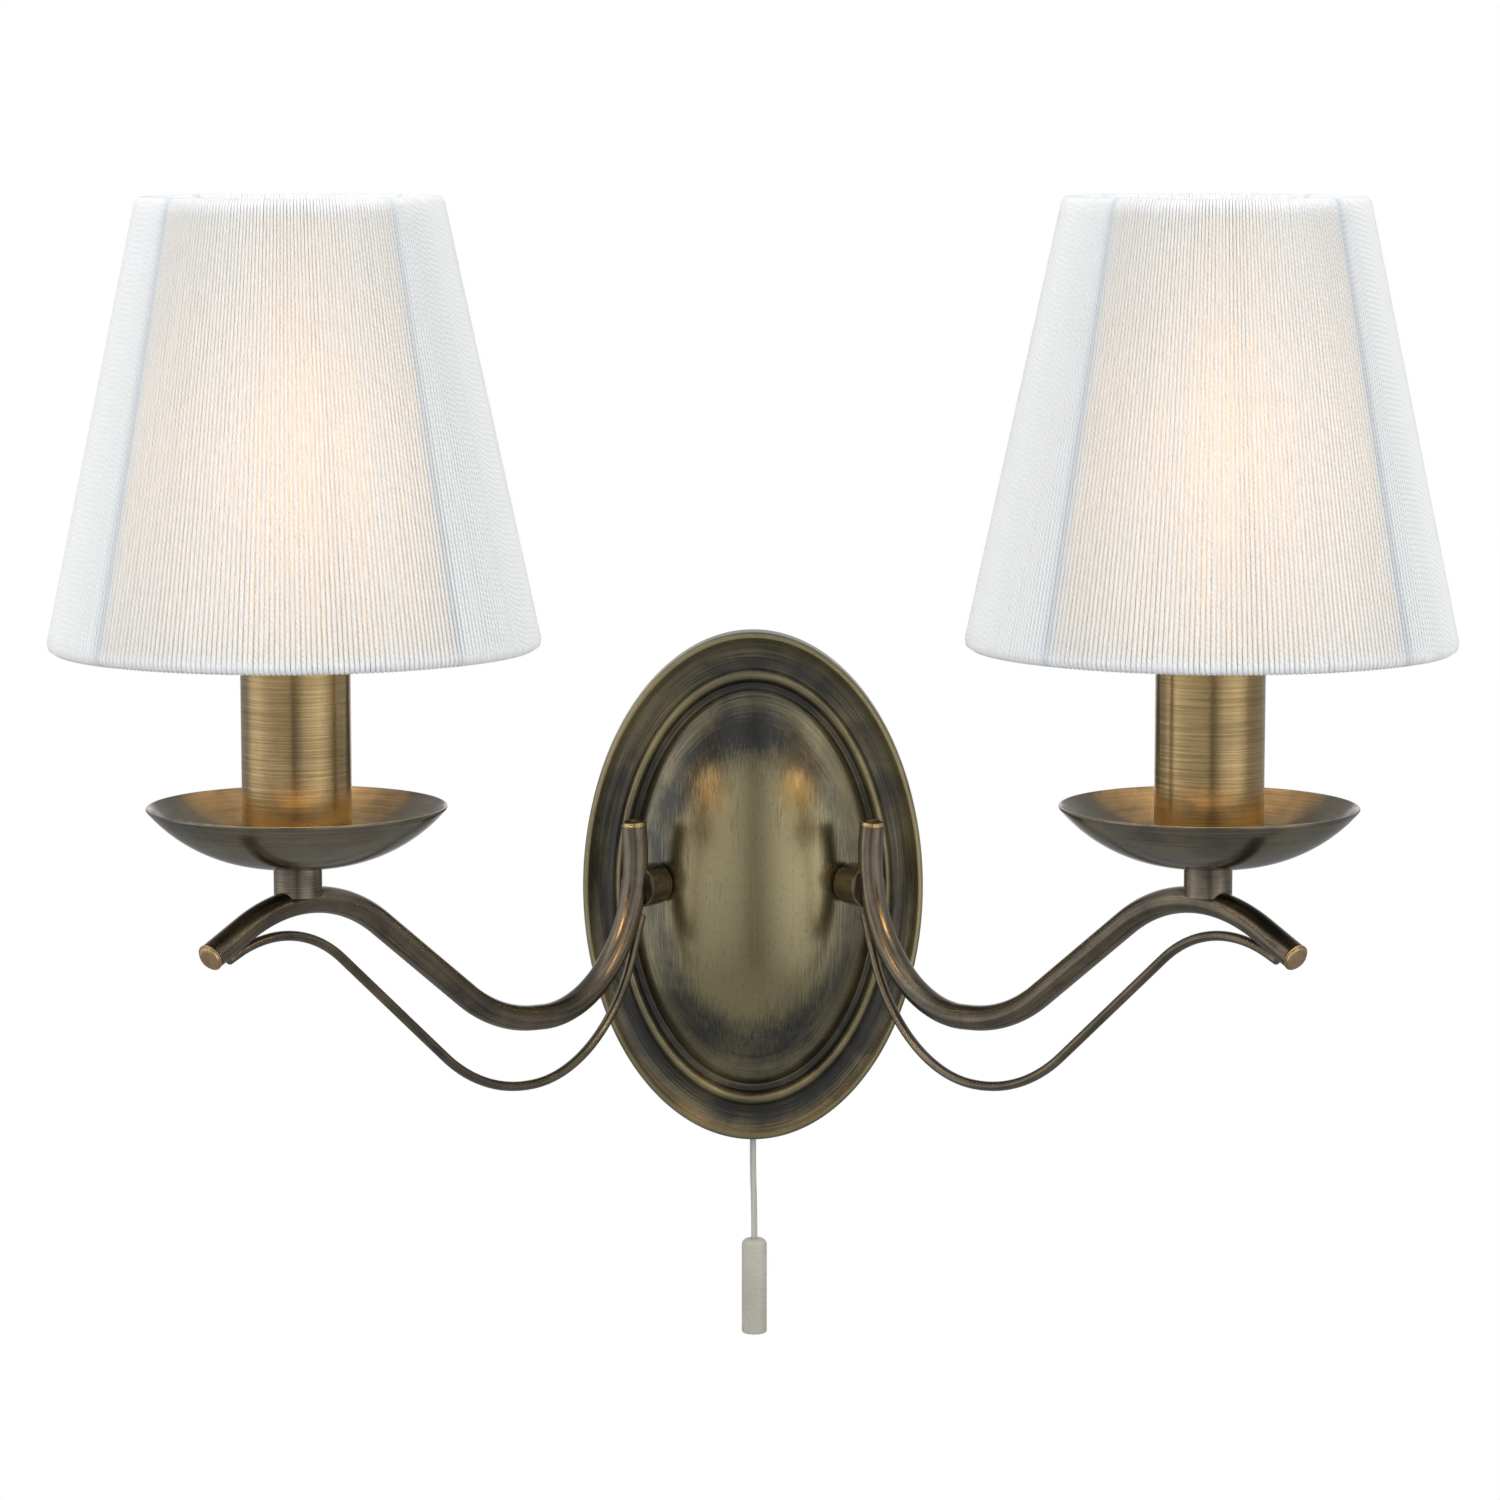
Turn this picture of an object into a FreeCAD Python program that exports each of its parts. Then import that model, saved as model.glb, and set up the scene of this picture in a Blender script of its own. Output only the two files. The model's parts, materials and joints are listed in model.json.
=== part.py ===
"""Double arm wall sconce: oval pressed backplate, two scrolled arms, drip dishes,
candle sleeves, string shades on lamp clips, and a pull cord switch.

Frame, in millimetres: the origin is the centre of the backplate on the wall
plane, +Z is up, +X is to the right, and the light stands out from the wall
along -Y. "Depth" always means the distance in front of the wall.
"""

import FreeCAD
import Part
import math
import os

Vector = FreeCAD.Vector

# ---------------------------------------------------------------- clearances
SEAT_GAP = 0.05            # pieces that are clamped, brazed or pressed together
RUNNING_GAP = 0.05         # radial play of a pin in its bore
GUIDE_GAP = 0.10           # radial play of a slider or cord in its guide
GRIP_GAP = 0.30            # clip wire to lamp glass
COVER_GAP = 0.35           # bracket flange to the inside of the rim

# ----------------------------------------------------------------- backplate
PLATE_HALF_WIDTH = 51.0
PLATE_HALF_HEIGHT = 77.0
PLATE_SHEET = 1.0
LIP_DEPTH = 10.0           # front of the rolled lip
LIP_ROUND = 1.5
COVE_DEPTH = 7.4           # floor of the hollow between lip and bead
BEAD_FOOT_DEPTH = 9.0
BEAD_DEPTH = 11.4          # crest of the raised bead
BEAD_WIDTH = 3.6
GROOVE_WIDTH = 1.6         # between the bead and the dome
GROOVE_DEPTH = 8.6
DOME_HALF_WIDTH = 36.5
DOME_HALF_HEIGHT = 60.0
DOME_DEPTH = 26.0
DOME_SINK = 3.0            # how far the dome and the groove run on into each other
LIP_STEPS = 4              # flats that follow each rounded band
COVE_STEPS = 10
BEAD_STEPS = 10

# ----------------------------------------------- arm, in its own upright plane
# Each pair is (distance inward from the stem axis, height).
ARM_ANGLE = 53.8           # degrees between an arm's plane and the wall
ARM_TUBE_DIAMETER = 7.4
ARM_TUBE_WALL = 1.0
ARM_TIP = (-35.0, 8.0)
ARM_CREST = (7.6, 26.2)
ARM_FALL = (85.0, -27.5)
ARM_NECK = (150.5, 15.0)
ARM_RISE_LEAN = 1.5        # the rise stands this much nearer the stem than the neck
ARM_RISE_HEIGHT = -33.3
ARM_RISE = (ARM_NECK[0] - ARM_RISE_LEAN, ARM_RISE_HEIGHT)
ARM_TOP_LEAN = 0.8         # and the upper end this much
ARM_TOP_RUN = 6.4          # height of the upper end above the neck
ARM_TOP = (ARM_NECK[0] - ARM_TOP_LEAN, ARM_NECK[1] + ARM_TOP_RUN)
ARM_CREST_RADIUS = 58.0
ARM_FALL_RADIUS = 63.5
ARM_RISE_RADIUS = 41.0
ARM_NECK_RADIUS = 40.0
END_CAP_LIP = 0.15         # cap rim beyond the tube wall
END_CAP_THICKNESS = 1.4
END_CAP_ROUND = 0.45
END_CAP_PLUG = 4.0

SCROLL_DIAMETER = 2.8
SCROLL_TIP_INSET = 6.5     # from the arm's tip
SCROLL_TIP_DROP = 2.0      # below it
SCROLL_TIP = (ARM_TIP[0] + SCROLL_TIP_INSET, ARM_TIP[1] - SCROLL_TIP_DROP)
SCROLL_CREST = (-1.6, 15.5)
SCROLL_FALL = (78.9, -47.9)
SCROLL_RISE_LEAN = 14.9    # nearer the stem than the arm's neck
SCROLL_RISE_HEIGHT = -49.5
SCROLL_RISE = (ARM_NECK[0] - SCROLL_RISE_LEAN, SCROLL_RISE_HEIGHT)
SCROLL_TOP_REACH = 2.7     # its upper end lies this far past the arm's neck
SCROLL_TOP_HEIGHT = -5.6
SCROLL_TOP = (ARM_NECK[0] + SCROLL_TOP_REACH, SCROLL_TOP_HEIGHT)
SCROLL_CREST_RADIUS = 45.0
SCROLL_FALL_RADIUS = 66.0
SCROLL_RISE_RADIUS = 49.0

# ------------------------------------------- boss that carries an arm's root
BOSS_DIAMETER = 12.6
BOSS_HEIGHT = 3.0          # height of its axis
BOSS_LENGTH = 9.1          # from the tube's wall to the dome
BOSS_SADDLE = 2.2          # how far it wraps the tube
BOSS_RUN_ON = 0.6          # past the dome before it is shaped to it
BOSS_ROUND = 2.0           # of its edge at the dome
NIPPLE_DIAMETER = 8.0
NIPPLE_BORE = 5.6
NIPPLE_TAIL = 1.5          # thread beyond the nut
NIPPLE_SOCKET = 0.6        # floor left between a nipple and the arm tube
WIRE_HOLE = 4.8
WASHER_DIAMETER = 14.0
WASHER_THICKNESS = 0.8
WASHER_STANDOFF = 0.6      # rim contact on the hollow side of the dome
NUT_FLATS = 12.0
NUT_THICKNESS = 3.5

# ------------------------------------------------ stem, drip dish and sleeve
COLLAR_DIAMETER = 13.2
COLLAR_FOOT_RISE = 1.75    # above the centreline of the arm tube that it straddles
DISH_SEAT_HEIGHT = 28.3
DISH_RADIUS = 40.9
DISH_RISE = 15.8
DISH_SHEET = 0.9
DISH_FLAT_RADIUS = 7.0
STEM_NIPPLE_RISE = 8.0     # above the dish floor
SLEEVE_DIAMETER = 29.8
SLEEVE_WALL = 0.8
SLEEVE_HEIGHT = 72.3
SLEEVE_CHAMFER = 0.3

# ---------------------------------------------------------- lampholder, lamp
HOLDER_DIAMETER = 25.4
HOLDER_BASE = 10.0         # solid foot that takes the stem nipple
HOLDER_WALL = 2.6
HOLDER_BODY_HEIGHT = 46.5
SOCKET_HEIGHT = 24.0
SOCKET_FLOOR = 2.4
SOCKET_ROUND = 1.0
LINER_DIAMETER = 16.4
LINER_BORE = 14.3
LINER_HEIGHT = 18.0
CONTACT_DIAMETER = 6.4
CONTACT_THICKNESS = 0.8
CAP_DIAMETER = 13.9
CAP_HEIGHT = 23.2
CAP_WALL = 0.5
CAP_TIP_DIAMETER = 5.0
CAP_TIP_HEIGHT = 1.6
CAP_CONE_HEIGHT = 3.0
CAP_CONE_FOOT_DIAMETER = 6.6
CAP_FLOOR = 1.0
GLASS_DIAMETER = 35.0
GLASS_NECK_RADIUS = 6.8
GLASS_BELLY_RISE = 24.0    # neck to widest point
GLASS_TAPER_RISE = 49.5    # widest point to the foot of the tip
GLASS_TIP_RADIUS = 3.0
GLASS_WALL = 0.8

# --------------------------------------------------------------------- shade
SHADE_BOTTOM_HEIGHT = 87.4
SHADE_TOP_HEIGHT = 209.1
SHADE_BOTTOM_RADIUS = 66.5
SHADE_TOP_RADIUS = 41.4
RING_WIRE = 2.0
STRUT_WIRE = 1.6
STRING_THICKNESS = 1.0
STRING_GAP = 0.15          # rings and spider wires to the string around them
STRUT_COUNT = 4
STRUT_START = 45.0         # degrees round from +X to the first strut
SPIDER_WIRE = 2.0
SPIDER_DISC_DIAMETER = 12.0
SPIDER_DISC_THICKNESS = 1.2
SPIDER_DISC_SINK = 0.2     # how far the barrel is let into the disc

# ------------------------------------- spring clip that grips the lamp's glass
CLIP_WIRE = 1.6
CLIP_RISE_ABOVE_LAMP = 2.0
CLIP_PLATE_LENGTH = 15.0
CLIP_PLATE_WIDTH = 12.4
CLIP_PLATE_THICKNESS = 1.2
CLIP_LEG_ANGLE = 40.0      # degrees either side of the X axis
CLIP_LEG_TOP_RADIUS = 7.0
CLIP_KNEE_DROP = 24.0      # from the plate down to the bend of each leg
CLIP_GRIP_RISE = 13.0      # grip height above the lamp's widest point
CLIP_KNEE_CLEARANCE = 3.0  # wire centre to the glass at the bend of each leg
CLIP_KNEE_RADIUS = 20.0
CLIP_CORNER_RADIUS = 3.8
EAR_THICKNESS = 1.2
PIVOT_RISE = 4.2           # pin axis above the clip plate
PIN_DIAMETER = 2.0
EAR_EYE_DIAMETER = 3.4
PIN_HEAD_DIAMETER = 3.6
PIN_HEAD_THICKNESS = 0.8
BARREL_DIAMETER = 4.4
BARREL_LENGTH = 6.6
BARREL_END_GAP = 0.3

# ------------------------------------------------------------- wall bracket
BRACKET_SHEET = 1.5
BRACKET_WIDTH = 14.0
FLANGE_DEPTH = 6.8
WALL_HOLE_SPACING = 60.0
WALL_SLOT_LENGTH = 10.0
WALL_SLOT_WIDTH = 4.6
TONGUE_WIDTH = 20.0
TONGUE_DROP = 54.0         # below the backplate's centre
COVER_SCREW_DIAMETER = 3.0
COVER_SCREW_LENGTH = 5.0
COVER_SCREW_DEPTH = 4.4    # axis in front of the wall
COVER_SCREW_SLOT = 0.6
COVER_SLOT_DEPTH = 1.0
EARTH_SCREW_OFFSET = 19.0
EARTH_SCREW_DROP = 2.0
EARTH_SCREW_DIAMETER = 4.0
EARTH_HEAD_DIAMETER = 6.8
EARTH_HEAD_THICKNESS = 2.2
EARTH_HEAD_ROUND = 0.8
EARTH_WASHER_DIAMETER = 8.6
EARTH_WASHER_THICKNESS = 0.8
EARTH_SLOT_WIDTH = 0.9
EARTH_SLOT_DEPTH = 0.8

# ------------------------------------------------------------ terminal block
BLOCK_LENGTH = 26.0
BLOCK_HEIGHT = 16.0
BLOCK_DEPTH = 11.0
BLOCK_ROUND = 1.0
POLE_COUNT = 3
POLE_PITCH = 8.0
POLE_DIAMETER = 4.6
POLE_BORE = 3.2
POLE_DEPTH = 5.4           # pole axis in front of the strap
POLE_SCREW_DIAMETER = 2.5
POLE_SCREW_SPREAD = 4.0    # either side of the block's middle
POLE_SCREW_WELL = 3.4
POLE_SCREW_RECESS = 1.6
POLE_SCREW_SLOT = 0.5
POLE_SCREW_SLOT_DEPTH = 0.6
POLE_INSET = 1.0           # insert ends inside the block's faces

# --------------------------------------------------------------- pull switch
SWITCH_WIDTH = 20.0
SWITCH_TOP_DROP = 28.0     # below the backplate's centre
SWITCH_HEIGHT = 22.0
SWITCH_DEPTH = 9.0
SWITCH_ROUND = 1.0
SWITCH_WALL = 2.0
SLIDER_DIAMETER = 4.6
SLIDER_LENGTH = 6.0
SLIDER_CORD_DEPTH = 4.0    # how far the cord runs up into the slider
SWITCH_TRAVEL = 8.0
SPRING_DIAMETER = 4.2
SPRING_BORE = 2.6
SWITCH_SCREW_SPREAD = 7.2
SWITCH_SCREW_OFFSET = 6.0  # above and below the middle of the housing
SWITCH_SCREW_DIAMETER = 2.2
SWITCH_SCREW_HEAD = 3.8
SWITCH_SCREW_HEAD_HEIGHT = 1.2
CORD_DEPTH = 4.6           # the cord hangs this far in front of the wall
CORD_DIAMETER = 1.9
BUSH_DIAMETER = 4.8
BUSH_FLANGE_DIAMETER = 6.0
BUSH_FLANGE_THICKNESS = 0.8
BUSH_STANDOFF = 0.2        # clears the curve of the rim beside the bush
HANDLE_DIAMETER = 7.6
HANDLE_LENGTH = 29.2
HANDLE_TOP_ROUND = 1.6
HANDLE_FOOT_ROUND = 0.6
HANDLE_CAVITY_DIAMETER = 4.8
HANDLE_CAVITY_LENGTH = 20.0
KNOT_DIAMETER = 4.2

# Hanging stretch of the cord: (sideways, drop below its swinging end).
CORD_ROUTE = [(0.0, 0.0), (0.0, 9.4), (0.4, 21.0), (0.4, 30.4)]

# -------------------------------------------------------------------- wiring
LAMP_WIRE_DIAMETER = 2.4
WIRE_ARM_BEND = 3.4        # where it turns into the arm and into the stem
WIRE_STEM_BEND = 4.0
WIRE_LOOP_BEND = 4.0       # inside the backplate
WIRE_LOOP_HEIGHT = 15.5
WIRE_EXIT_RUN = 6.0        # beyond the nipple before the first bend
SWITCH_WIRE_DIAMETER = 2.4

# -------------------------------------------------------------- derived sizes
DOME_RISE = DOME_DEPTH - GROOVE_DEPTH
DOME_RADIUS = (DOME_HALF_WIDTH ** 2 + DOME_RISE ** 2) / (2.0 * DOME_RISE)
DOME_CENTRE_Y = DOME_RADIUS - DOME_DEPTH
DOME_STRETCH = DOME_HALF_HEIGHT / DOME_HALF_WIDTH
TUBE_RADIUS = ARM_TUBE_DIAMETER / 2.0
ARM_COS = math.cos(math.radians(ARM_ANGLE))
ARM_SIN = math.sin(math.radians(ARM_ANGLE))

PARTS = {}


# ------------------------------------------------------------ plane geometry
def meeting_point(start, heading, other, other_heading):
    """Point where two lines of a plane meet, each given by a point and a heading."""
    cross = heading[0] * other_heading[1] - heading[1] * other_heading[0]
    gap = (other[0] - start[0], other[1] - start[1])
    reach = (gap[0] * other_heading[1] - gap[1] * other_heading[0]) / cross
    return (start[0] + heading[0] * reach, start[1] + heading[1] * reach)


def bend_centre(before, corner, after, radius):
    """Centre of the arc that rounds a corner of a plane route."""
    to_before = Vector(before[0] - corner[0], before[1] - corner[1], 0).normalize()
    to_after = Vector(after[0] - corner[0], after[1] - corner[1], 0).normalize()
    half = to_before.getAngle(to_after) / 2.0
    bisector = (to_before + to_after).normalize()
    reach = radius / math.sin(half)
    return (corner[0] + bisector.x * reach, corner[1] + bisector.y * reach)


# ------------------------------------------------------------ solid helpers
def cylinder(start, axis, diameter, length):
    """Solid cylinder from a point along an axis."""
    return Part.makeCylinder(diameter / 2.0, length, start, axis)


def tube(start, axis, diameter, bore, length):
    """Cylinder with a through bore."""
    hole = Part.makeCylinder(bore / 2.0, length + 2.0, start - axis * 1.0, axis)
    return cylinder(start, axis, diameter, length).cut(hole)


def centred_box(width, depth, height, centre):
    """Box by its three sizes and its centre."""
    corner = centre - Vector(width / 2.0, depth / 2.0, height / 2.0)
    return Part.makeBox(width, depth, height, corner)


def hexagon(start, axis, flats, length):
    """Hexagonal prism from a point along an axis."""
    radius = flats / math.sqrt(3.0)
    corners = []
    for step in range(7):
        turn = math.radians(60.0 * (step % 6))
        corners.append(Vector(radius * math.cos(turn), radius * math.sin(turn), 0))
    prism = Part.Face(Part.makePolygon(corners)).extrude(Vector(0, 0, length))
    turn = FreeCAD.Rotation(Vector(0, 0, 1), axis)
    prism.Placement = FreeCAD.Placement(start, turn)
    return prism


def route_wire(points, radii):
    """Straight runs joined by tangent arcs, one radius for each inner point."""
    edges = []
    start = points[0]
    for index, radius in enumerate(radii):
        corner = points[index + 1]
        back = (points[index] - corner).normalize()
        ahead = (points[index + 2] - corner).normalize()
        half = back.getAngle(ahead) / 2.0
        reach = radius / math.tan(half)
        bisector = (back + ahead).normalize()
        centre = corner + bisector * (radius / math.sin(half))
        arc_start = corner + back * reach
        arc_end = corner + ahead * reach
        arc_middle = centre - bisector * radius
        if (arc_start - start).Length > 0.01:
            edges.append(Part.LineSegment(start, arc_start).toShape())
        edges.append(Part.Arc(arc_start, arc_middle, arc_end).toShape())
        start = arc_end
    if (points[-1] - start).Length > 0.01:
        edges.append(Part.LineSegment(start, points[-1]).toShape())
    return Part.Wire(edges)


def rod_along(points, radii, diameter):
    """Round bar that follows a route of runs and arcs."""
    heading = (points[1] - points[0]).normalize()
    circle = Part.Circle(points[0], heading, diameter / 2.0).toShape()
    return route_wire(points, radii).makePipeShell([Part.Wire([circle])], True, False)


def turned(edges, axis_point):
    """Full turn of a closed outline about the vertical line through a point."""
    outline = Part.Wire(Part.sortEdges(edges)[0])
    return Part.Face(outline).revolve(axis_point, Vector(0, 0, 1), 360.0)


def line(start, end):
    """Straight edge."""
    return Part.LineSegment(start, end).toShape()


def arc_about(centre, radius, start_angle, end_angle):
    """Arc in the XZ plane about a centre, angles in degrees from +X towards +Z."""
    points = []
    for angle in (start_angle, (start_angle + end_angle) / 2.0, end_angle):
        turn = math.radians(angle)
        points.append(centre + Vector(radius * math.cos(turn), 0, radius * math.sin(turn)))
    return Part.Arc(points[0], points[1], points[2]).toShape()


def keep(name, shape):
    """Stores a finished piece under its node name."""
    PARTS[name] = shape


# ------------------------------------------------------- places on the light
def arm_plane_offset():
    """Tube centre at the boss height, as a distance inward from the stem axis."""
    centre = bend_centre(ARM_FALL, ARM_RISE, ARM_NECK, ARM_RISE_RADIUS)
    rise = BOSS_HEIGHT - centre[1]
    return centre[0] + math.sqrt(ARM_RISE_RADIUS ** 2 - rise ** 2)


def outward(side):
    """Unit vector from the dome out along one arm."""
    return Vector(side * ARM_COS, -ARM_SIN, 0)


def dome_point(side, height=0.0):
    """Where an arm's boss axis meets the outside of the dome."""
    return Vector(0, DOME_CENTRE_Y, height) + outward(side) * DOME_RADIUS


def stem_axis(side, height=0.0):
    """Point on the vertical axis of one stem."""
    reach = BOSS_LENGTH + TUBE_RADIUS + arm_plane_offset()
    return dome_point(side, height) + outward(side) * reach


def arm_point(side, place):
    """Point of an arm's plane, given as (inward distance, height)."""
    return stem_axis(side, place[1]) - outward(side) * place[0]


def dish_floor():
    """Height of the inside of the dish at its centre."""
    return DISH_SEAT_HEIGHT + DISH_SHEET


def socket_base():
    """Height of the joint between the lampholder's body and socket."""
    return dish_floor() + HOLDER_BODY_HEIGHT


def lamp_cap_foot():
    """Height of the lamp's contact tip."""
    return socket_base() + SOCKET_FLOOR + CONTACT_THICKNESS + 2.0 * SEAT_GAP


def glass_neck():
    """Height of the glass's open neck."""
    return lamp_cap_foot() + CAP_HEIGHT


def glass_widest():
    """Height of the lamp's widest point."""
    return glass_neck() + GLASS_BELLY_RISE


def taper_radius():
    """Radius of the long arc from the lamp's widest point to its tip."""
    shrink = GLASS_DIAMETER / 2.0 - GLASS_TIP_RADIUS
    return (shrink ** 2 + GLASS_TAPER_RISE ** 2) / (2.0 * shrink)


def glass_radius(height):
    """Radius of the upper glass at a height."""
    bow = taper_radius()
    rise = height - glass_widest()
    return GLASS_DIAMETER / 2.0 - bow + math.sqrt(bow ** 2 - rise ** 2)


def glass_tip():
    """Height of the lamp's rounded tip."""
    lean = math.asin(GLASS_TAPER_RISE / taper_radius())
    foot = glass_widest() + GLASS_TAPER_RISE
    return foot + GLASS_TIP_RADIUS * (1.0 / math.cos(lean) - math.tan(lean))


def clip_plate_foot():
    """Height of the underside of the clip's plate."""
    return glass_tip() + CLIP_RISE_ABOVE_LAMP


def pivot_height():
    """Height of the pin that the shade tilts on."""
    return clip_plate_foot() + CLIP_PLATE_THICKNESS + PIVOT_RISE


def strap_front():
    """Y of what is screwed on the front of the bracket's sheet."""
    return -(BRACKET_SHEET + SEAT_GAP)


def slider_rest_top():
    """Height of the top of the switch's slider at rest."""
    return -(SWITCH_TOP_DROP + SWITCH_WALL + SEAT_GAP)


def bush_mouth():
    """Height where the cord leaves the backplate."""
    return -PLATE_HALF_HEIGHT


# ----------------------------------------------------------------- backplate
def oval(half_width, half_height, depth):
    """Upright oval wire at a distance in front of the wall."""
    centre = Vector(0, -depth, 0)
    top = Vector(0, -depth, half_height)
    side = Vector(half_width, -depth, 0)
    return Part.Wire([Part.Ellipse(top, side, centre).toShape()])


def plate_bands(inset, bead_rise):
    """Ovals of the pressed bands from the wall to under the dome's edge.

    Each is (half width, half height, depth). The inset is 0 for the outside of the
    sheet and its thickness for the inside, where the bead leaves no hollow.
    """
    lip_width = PLATE_HALF_WIDTH - LIP_ROUND
    lip_height = PLATE_HALF_HEIGHT - LIP_ROUND
    back = 1.0 if inset else 0.0
    bands = [(PLATE_HALF_WIDTH - inset, PLATE_HALF_HEIGHT - inset, -back)]
    for step in range(LIP_STEPS + 1):
        turn = math.radians(90.0 * step / LIP_STEPS)
        outer = (LIP_ROUND - inset) * math.cos(turn)
        depth = LIP_DEPTH - LIP_ROUND + (LIP_ROUND - inset) * math.sin(turn)
        bands.append((lip_width + outer, lip_height + outer, depth))
    width = lip_width - DOME_HALF_WIDTH
    groove_start = 1.0 - GROOVE_WIDTH / width
    bead_start = groove_start - BEAD_WIDTH / width
    face = []
    sink = (LIP_DEPTH + BEAD_FOOT_DEPTH) / 2.0 - COVE_DEPTH
    for step in range(1, COVE_STEPS):
        share = step / COVE_STEPS
        edge = LIP_DEPTH + (BEAD_FOOT_DEPTH - LIP_DEPTH) * share
        face.append((bead_start * share, edge - sink * 4.0 * share * (1.0 - share)))
    for step in range(BEAD_STEPS + 1):
        share = step / BEAD_STEPS
        foot = BEAD_FOOT_DEPTH + (GROOVE_DEPTH - BEAD_FOOT_DEPTH) * share
        swell = bead_rise * math.sin(math.pi * share)
        face.append((bead_start + (groove_start - bead_start) * share, foot + swell))
    face.append((1.0 + DOME_SINK / width, GROOVE_DEPTH))
    for share, depth in face:
        half_width = lip_width + (DOME_HALF_WIDTH - lip_width) * share
        half_height = lip_height + (DOME_HALF_HEIGHT - lip_height) * share
        bands.append((half_width, half_height, depth - inset))
    return bands


def plate_body(inset):
    """Solid under the plate's outside, or under its inside when inset by the sheet."""
    bead_rise = 0.0 if inset else BEAD_DEPTH - BEAD_FOOT_DEPTH
    sections = [oval(*band) for band in plate_bands(inset, bead_rise)]
    pressed = Part.makeLoft(sections, True, True)
    ball = Part.makeSphere(DOME_RADIUS - inset, Vector(0, DOME_CENTRE_Y, 0))
    sunk = GROOVE_DEPTH - inset - DOME_SINK
    span = 2.0 * DOME_RADIUS
    front = centred_box(span, DOME_DEPTH, span, Vector(0, -(sunk + DOME_DEPTH / 2.0), 0))
    stretch = FreeCAD.Matrix()
    stretch.scale(1.0, 1.0, DOME_STRETCH)
    dome = ball.common(front).transformGeometry(stretch)
    return pressed.fuse(dome)


def backplate(outside):
    """Pressed oval shell with holes for the bosses, side screws and cord bush."""
    shell = outside.cut(plate_body(PLATE_SHEET))
    for side in (-1, 1):
        start = dome_point(side, BOSS_HEIGHT) + outward(side) * BOSS_LENGTH
        reach = BOSS_LENGTH + 6.0 * PLATE_SHEET
        hole = NIPPLE_DIAMETER + 6.0 * SEAT_GAP
        shell = shell.cut(cylinder(start, outward(side) * -1.0, hole, reach))
        start = Vector(side * (PLATE_HALF_WIDTH + 1.0), -COVER_SCREW_DEPTH, 0)
        hole = COVER_SCREW_DIAMETER + 4.0 * SEAT_GAP
        reach = PLATE_SHEET + COVER_SCREW_LENGTH
        shell = shell.cut(cylinder(start, Vector(-side, 0, 0), hole, reach))
    start = Vector(0, -CORD_DEPTH, -(PLATE_HALF_HEIGHT + 1.0))
    hole = BUSH_DIAMETER + 2.0 * SEAT_GAP
    shell = shell.cut(cylinder(start, Vector(0, 0, 1), hole, 4.0 * PLATE_SHEET + 1.0))
    return shell


def cover_screws():
    """Slotted grub screws through the rim into the bracket's flanges."""
    screws = []
    for side in (-1, 1):
        axis = Vector(-side, 0, 0)
        start = Vector(side * (PLATE_HALF_WIDTH - 2.0 * SEAT_GAP), -COVER_SCREW_DEPTH, 0)
        screw = cylinder(start, axis, COVER_SCREW_DIAMETER, COVER_SCREW_LENGTH)
        across = COVER_SCREW_DIAMETER + 1.0
        slot = centred_box(2.0 * COVER_SLOT_DEPTH, across, COVER_SCREW_SLOT, start)
        screws.append(screw.cut(slot))
    return Part.makeCompound(screws)


# -------------------------------------------------------------- wall bracket
def slot_prism(centre, length, width, depth):
    """Round-ended slot along X, cut through along Y."""
    run = length - width
    prism = centred_box(run, depth, width, centre)
    for side in (-1, 1):
        start = centre + Vector(side * run / 2.0, -depth / 2.0, 0)
        prism = prism.fuse(cylinder(start, Vector(0, 1, 0), width, depth))
    return prism


def switch_screw_places():
    """Where the two switch screws enter the bracket's tongue."""
    middle = -(SWITCH_TOP_DROP + SWITCH_HEIGHT / 2.0)
    places = []
    for side in (-1, 1):
        places.append(Vector(side * SWITCH_SCREW_SPREAD, 0, middle + side * SWITCH_SCREW_OFFSET))
    return places


def wall_bracket():
    """Strap with two slotted wall holes, turned-out ends and a tongue for the switch."""
    reach = PLATE_HALF_WIDTH - PLATE_SHEET - COVER_GAP
    sheet = BRACKET_SHEET
    strap = centred_box(2.0 * reach, sheet, BRACKET_WIDTH, Vector(0, -sheet / 2.0, 0))
    bracket = strap
    for side in (-1, 1):
        centre = Vector(side * (reach - sheet / 2.0), -FLANGE_DEPTH / 2.0, 0)
        flange = centred_box(sheet, FLANGE_DEPTH, BRACKET_WIDTH, centre)
        start = Vector(side * (reach + 1.0), -COVER_SCREW_DEPTH, 0)
        hole = COVER_SCREW_DIAMETER + SEAT_GAP
        thread = cylinder(start, Vector(-side, 0, 0), hole, sheet + 2.0)
        bracket = bracket.fuse(flange).cut(thread)
        centre = Vector(side * WALL_HOLE_SPACING / 2.0, -sheet / 2.0, 0)
        slot = slot_prism(centre, WALL_SLOT_LENGTH, WALL_SLOT_WIDTH, sheet + 2.0)
        bracket = bracket.cut(slot)
    tongue_top = -BRACKET_WIDTH / 2.0 + 1.0
    length = TONGUE_DROP + tongue_top
    centre = Vector(0, -sheet / 2.0, tongue_top - length / 2.0)
    bracket = bracket.fuse(centred_box(TONGUE_WIDTH, sheet, length, centre))
    for place in switch_screw_places():
        start = place + Vector(0, 1.0, 0)
        hole = SWITCH_SCREW_DIAMETER + SEAT_GAP
        bracket = bracket.cut(cylinder(start, Vector(0, -1, 0), hole, sheet + 2.0))
    start = Vector(EARTH_SCREW_OFFSET, 1.0, -EARTH_SCREW_DROP)
    hole = EARTH_SCREW_DIAMETER + SEAT_GAP
    bracket = bracket.cut(cylinder(start, Vector(0, -1, 0), hole, sheet + 2.0))
    return bracket.removeSplitter()


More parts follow.
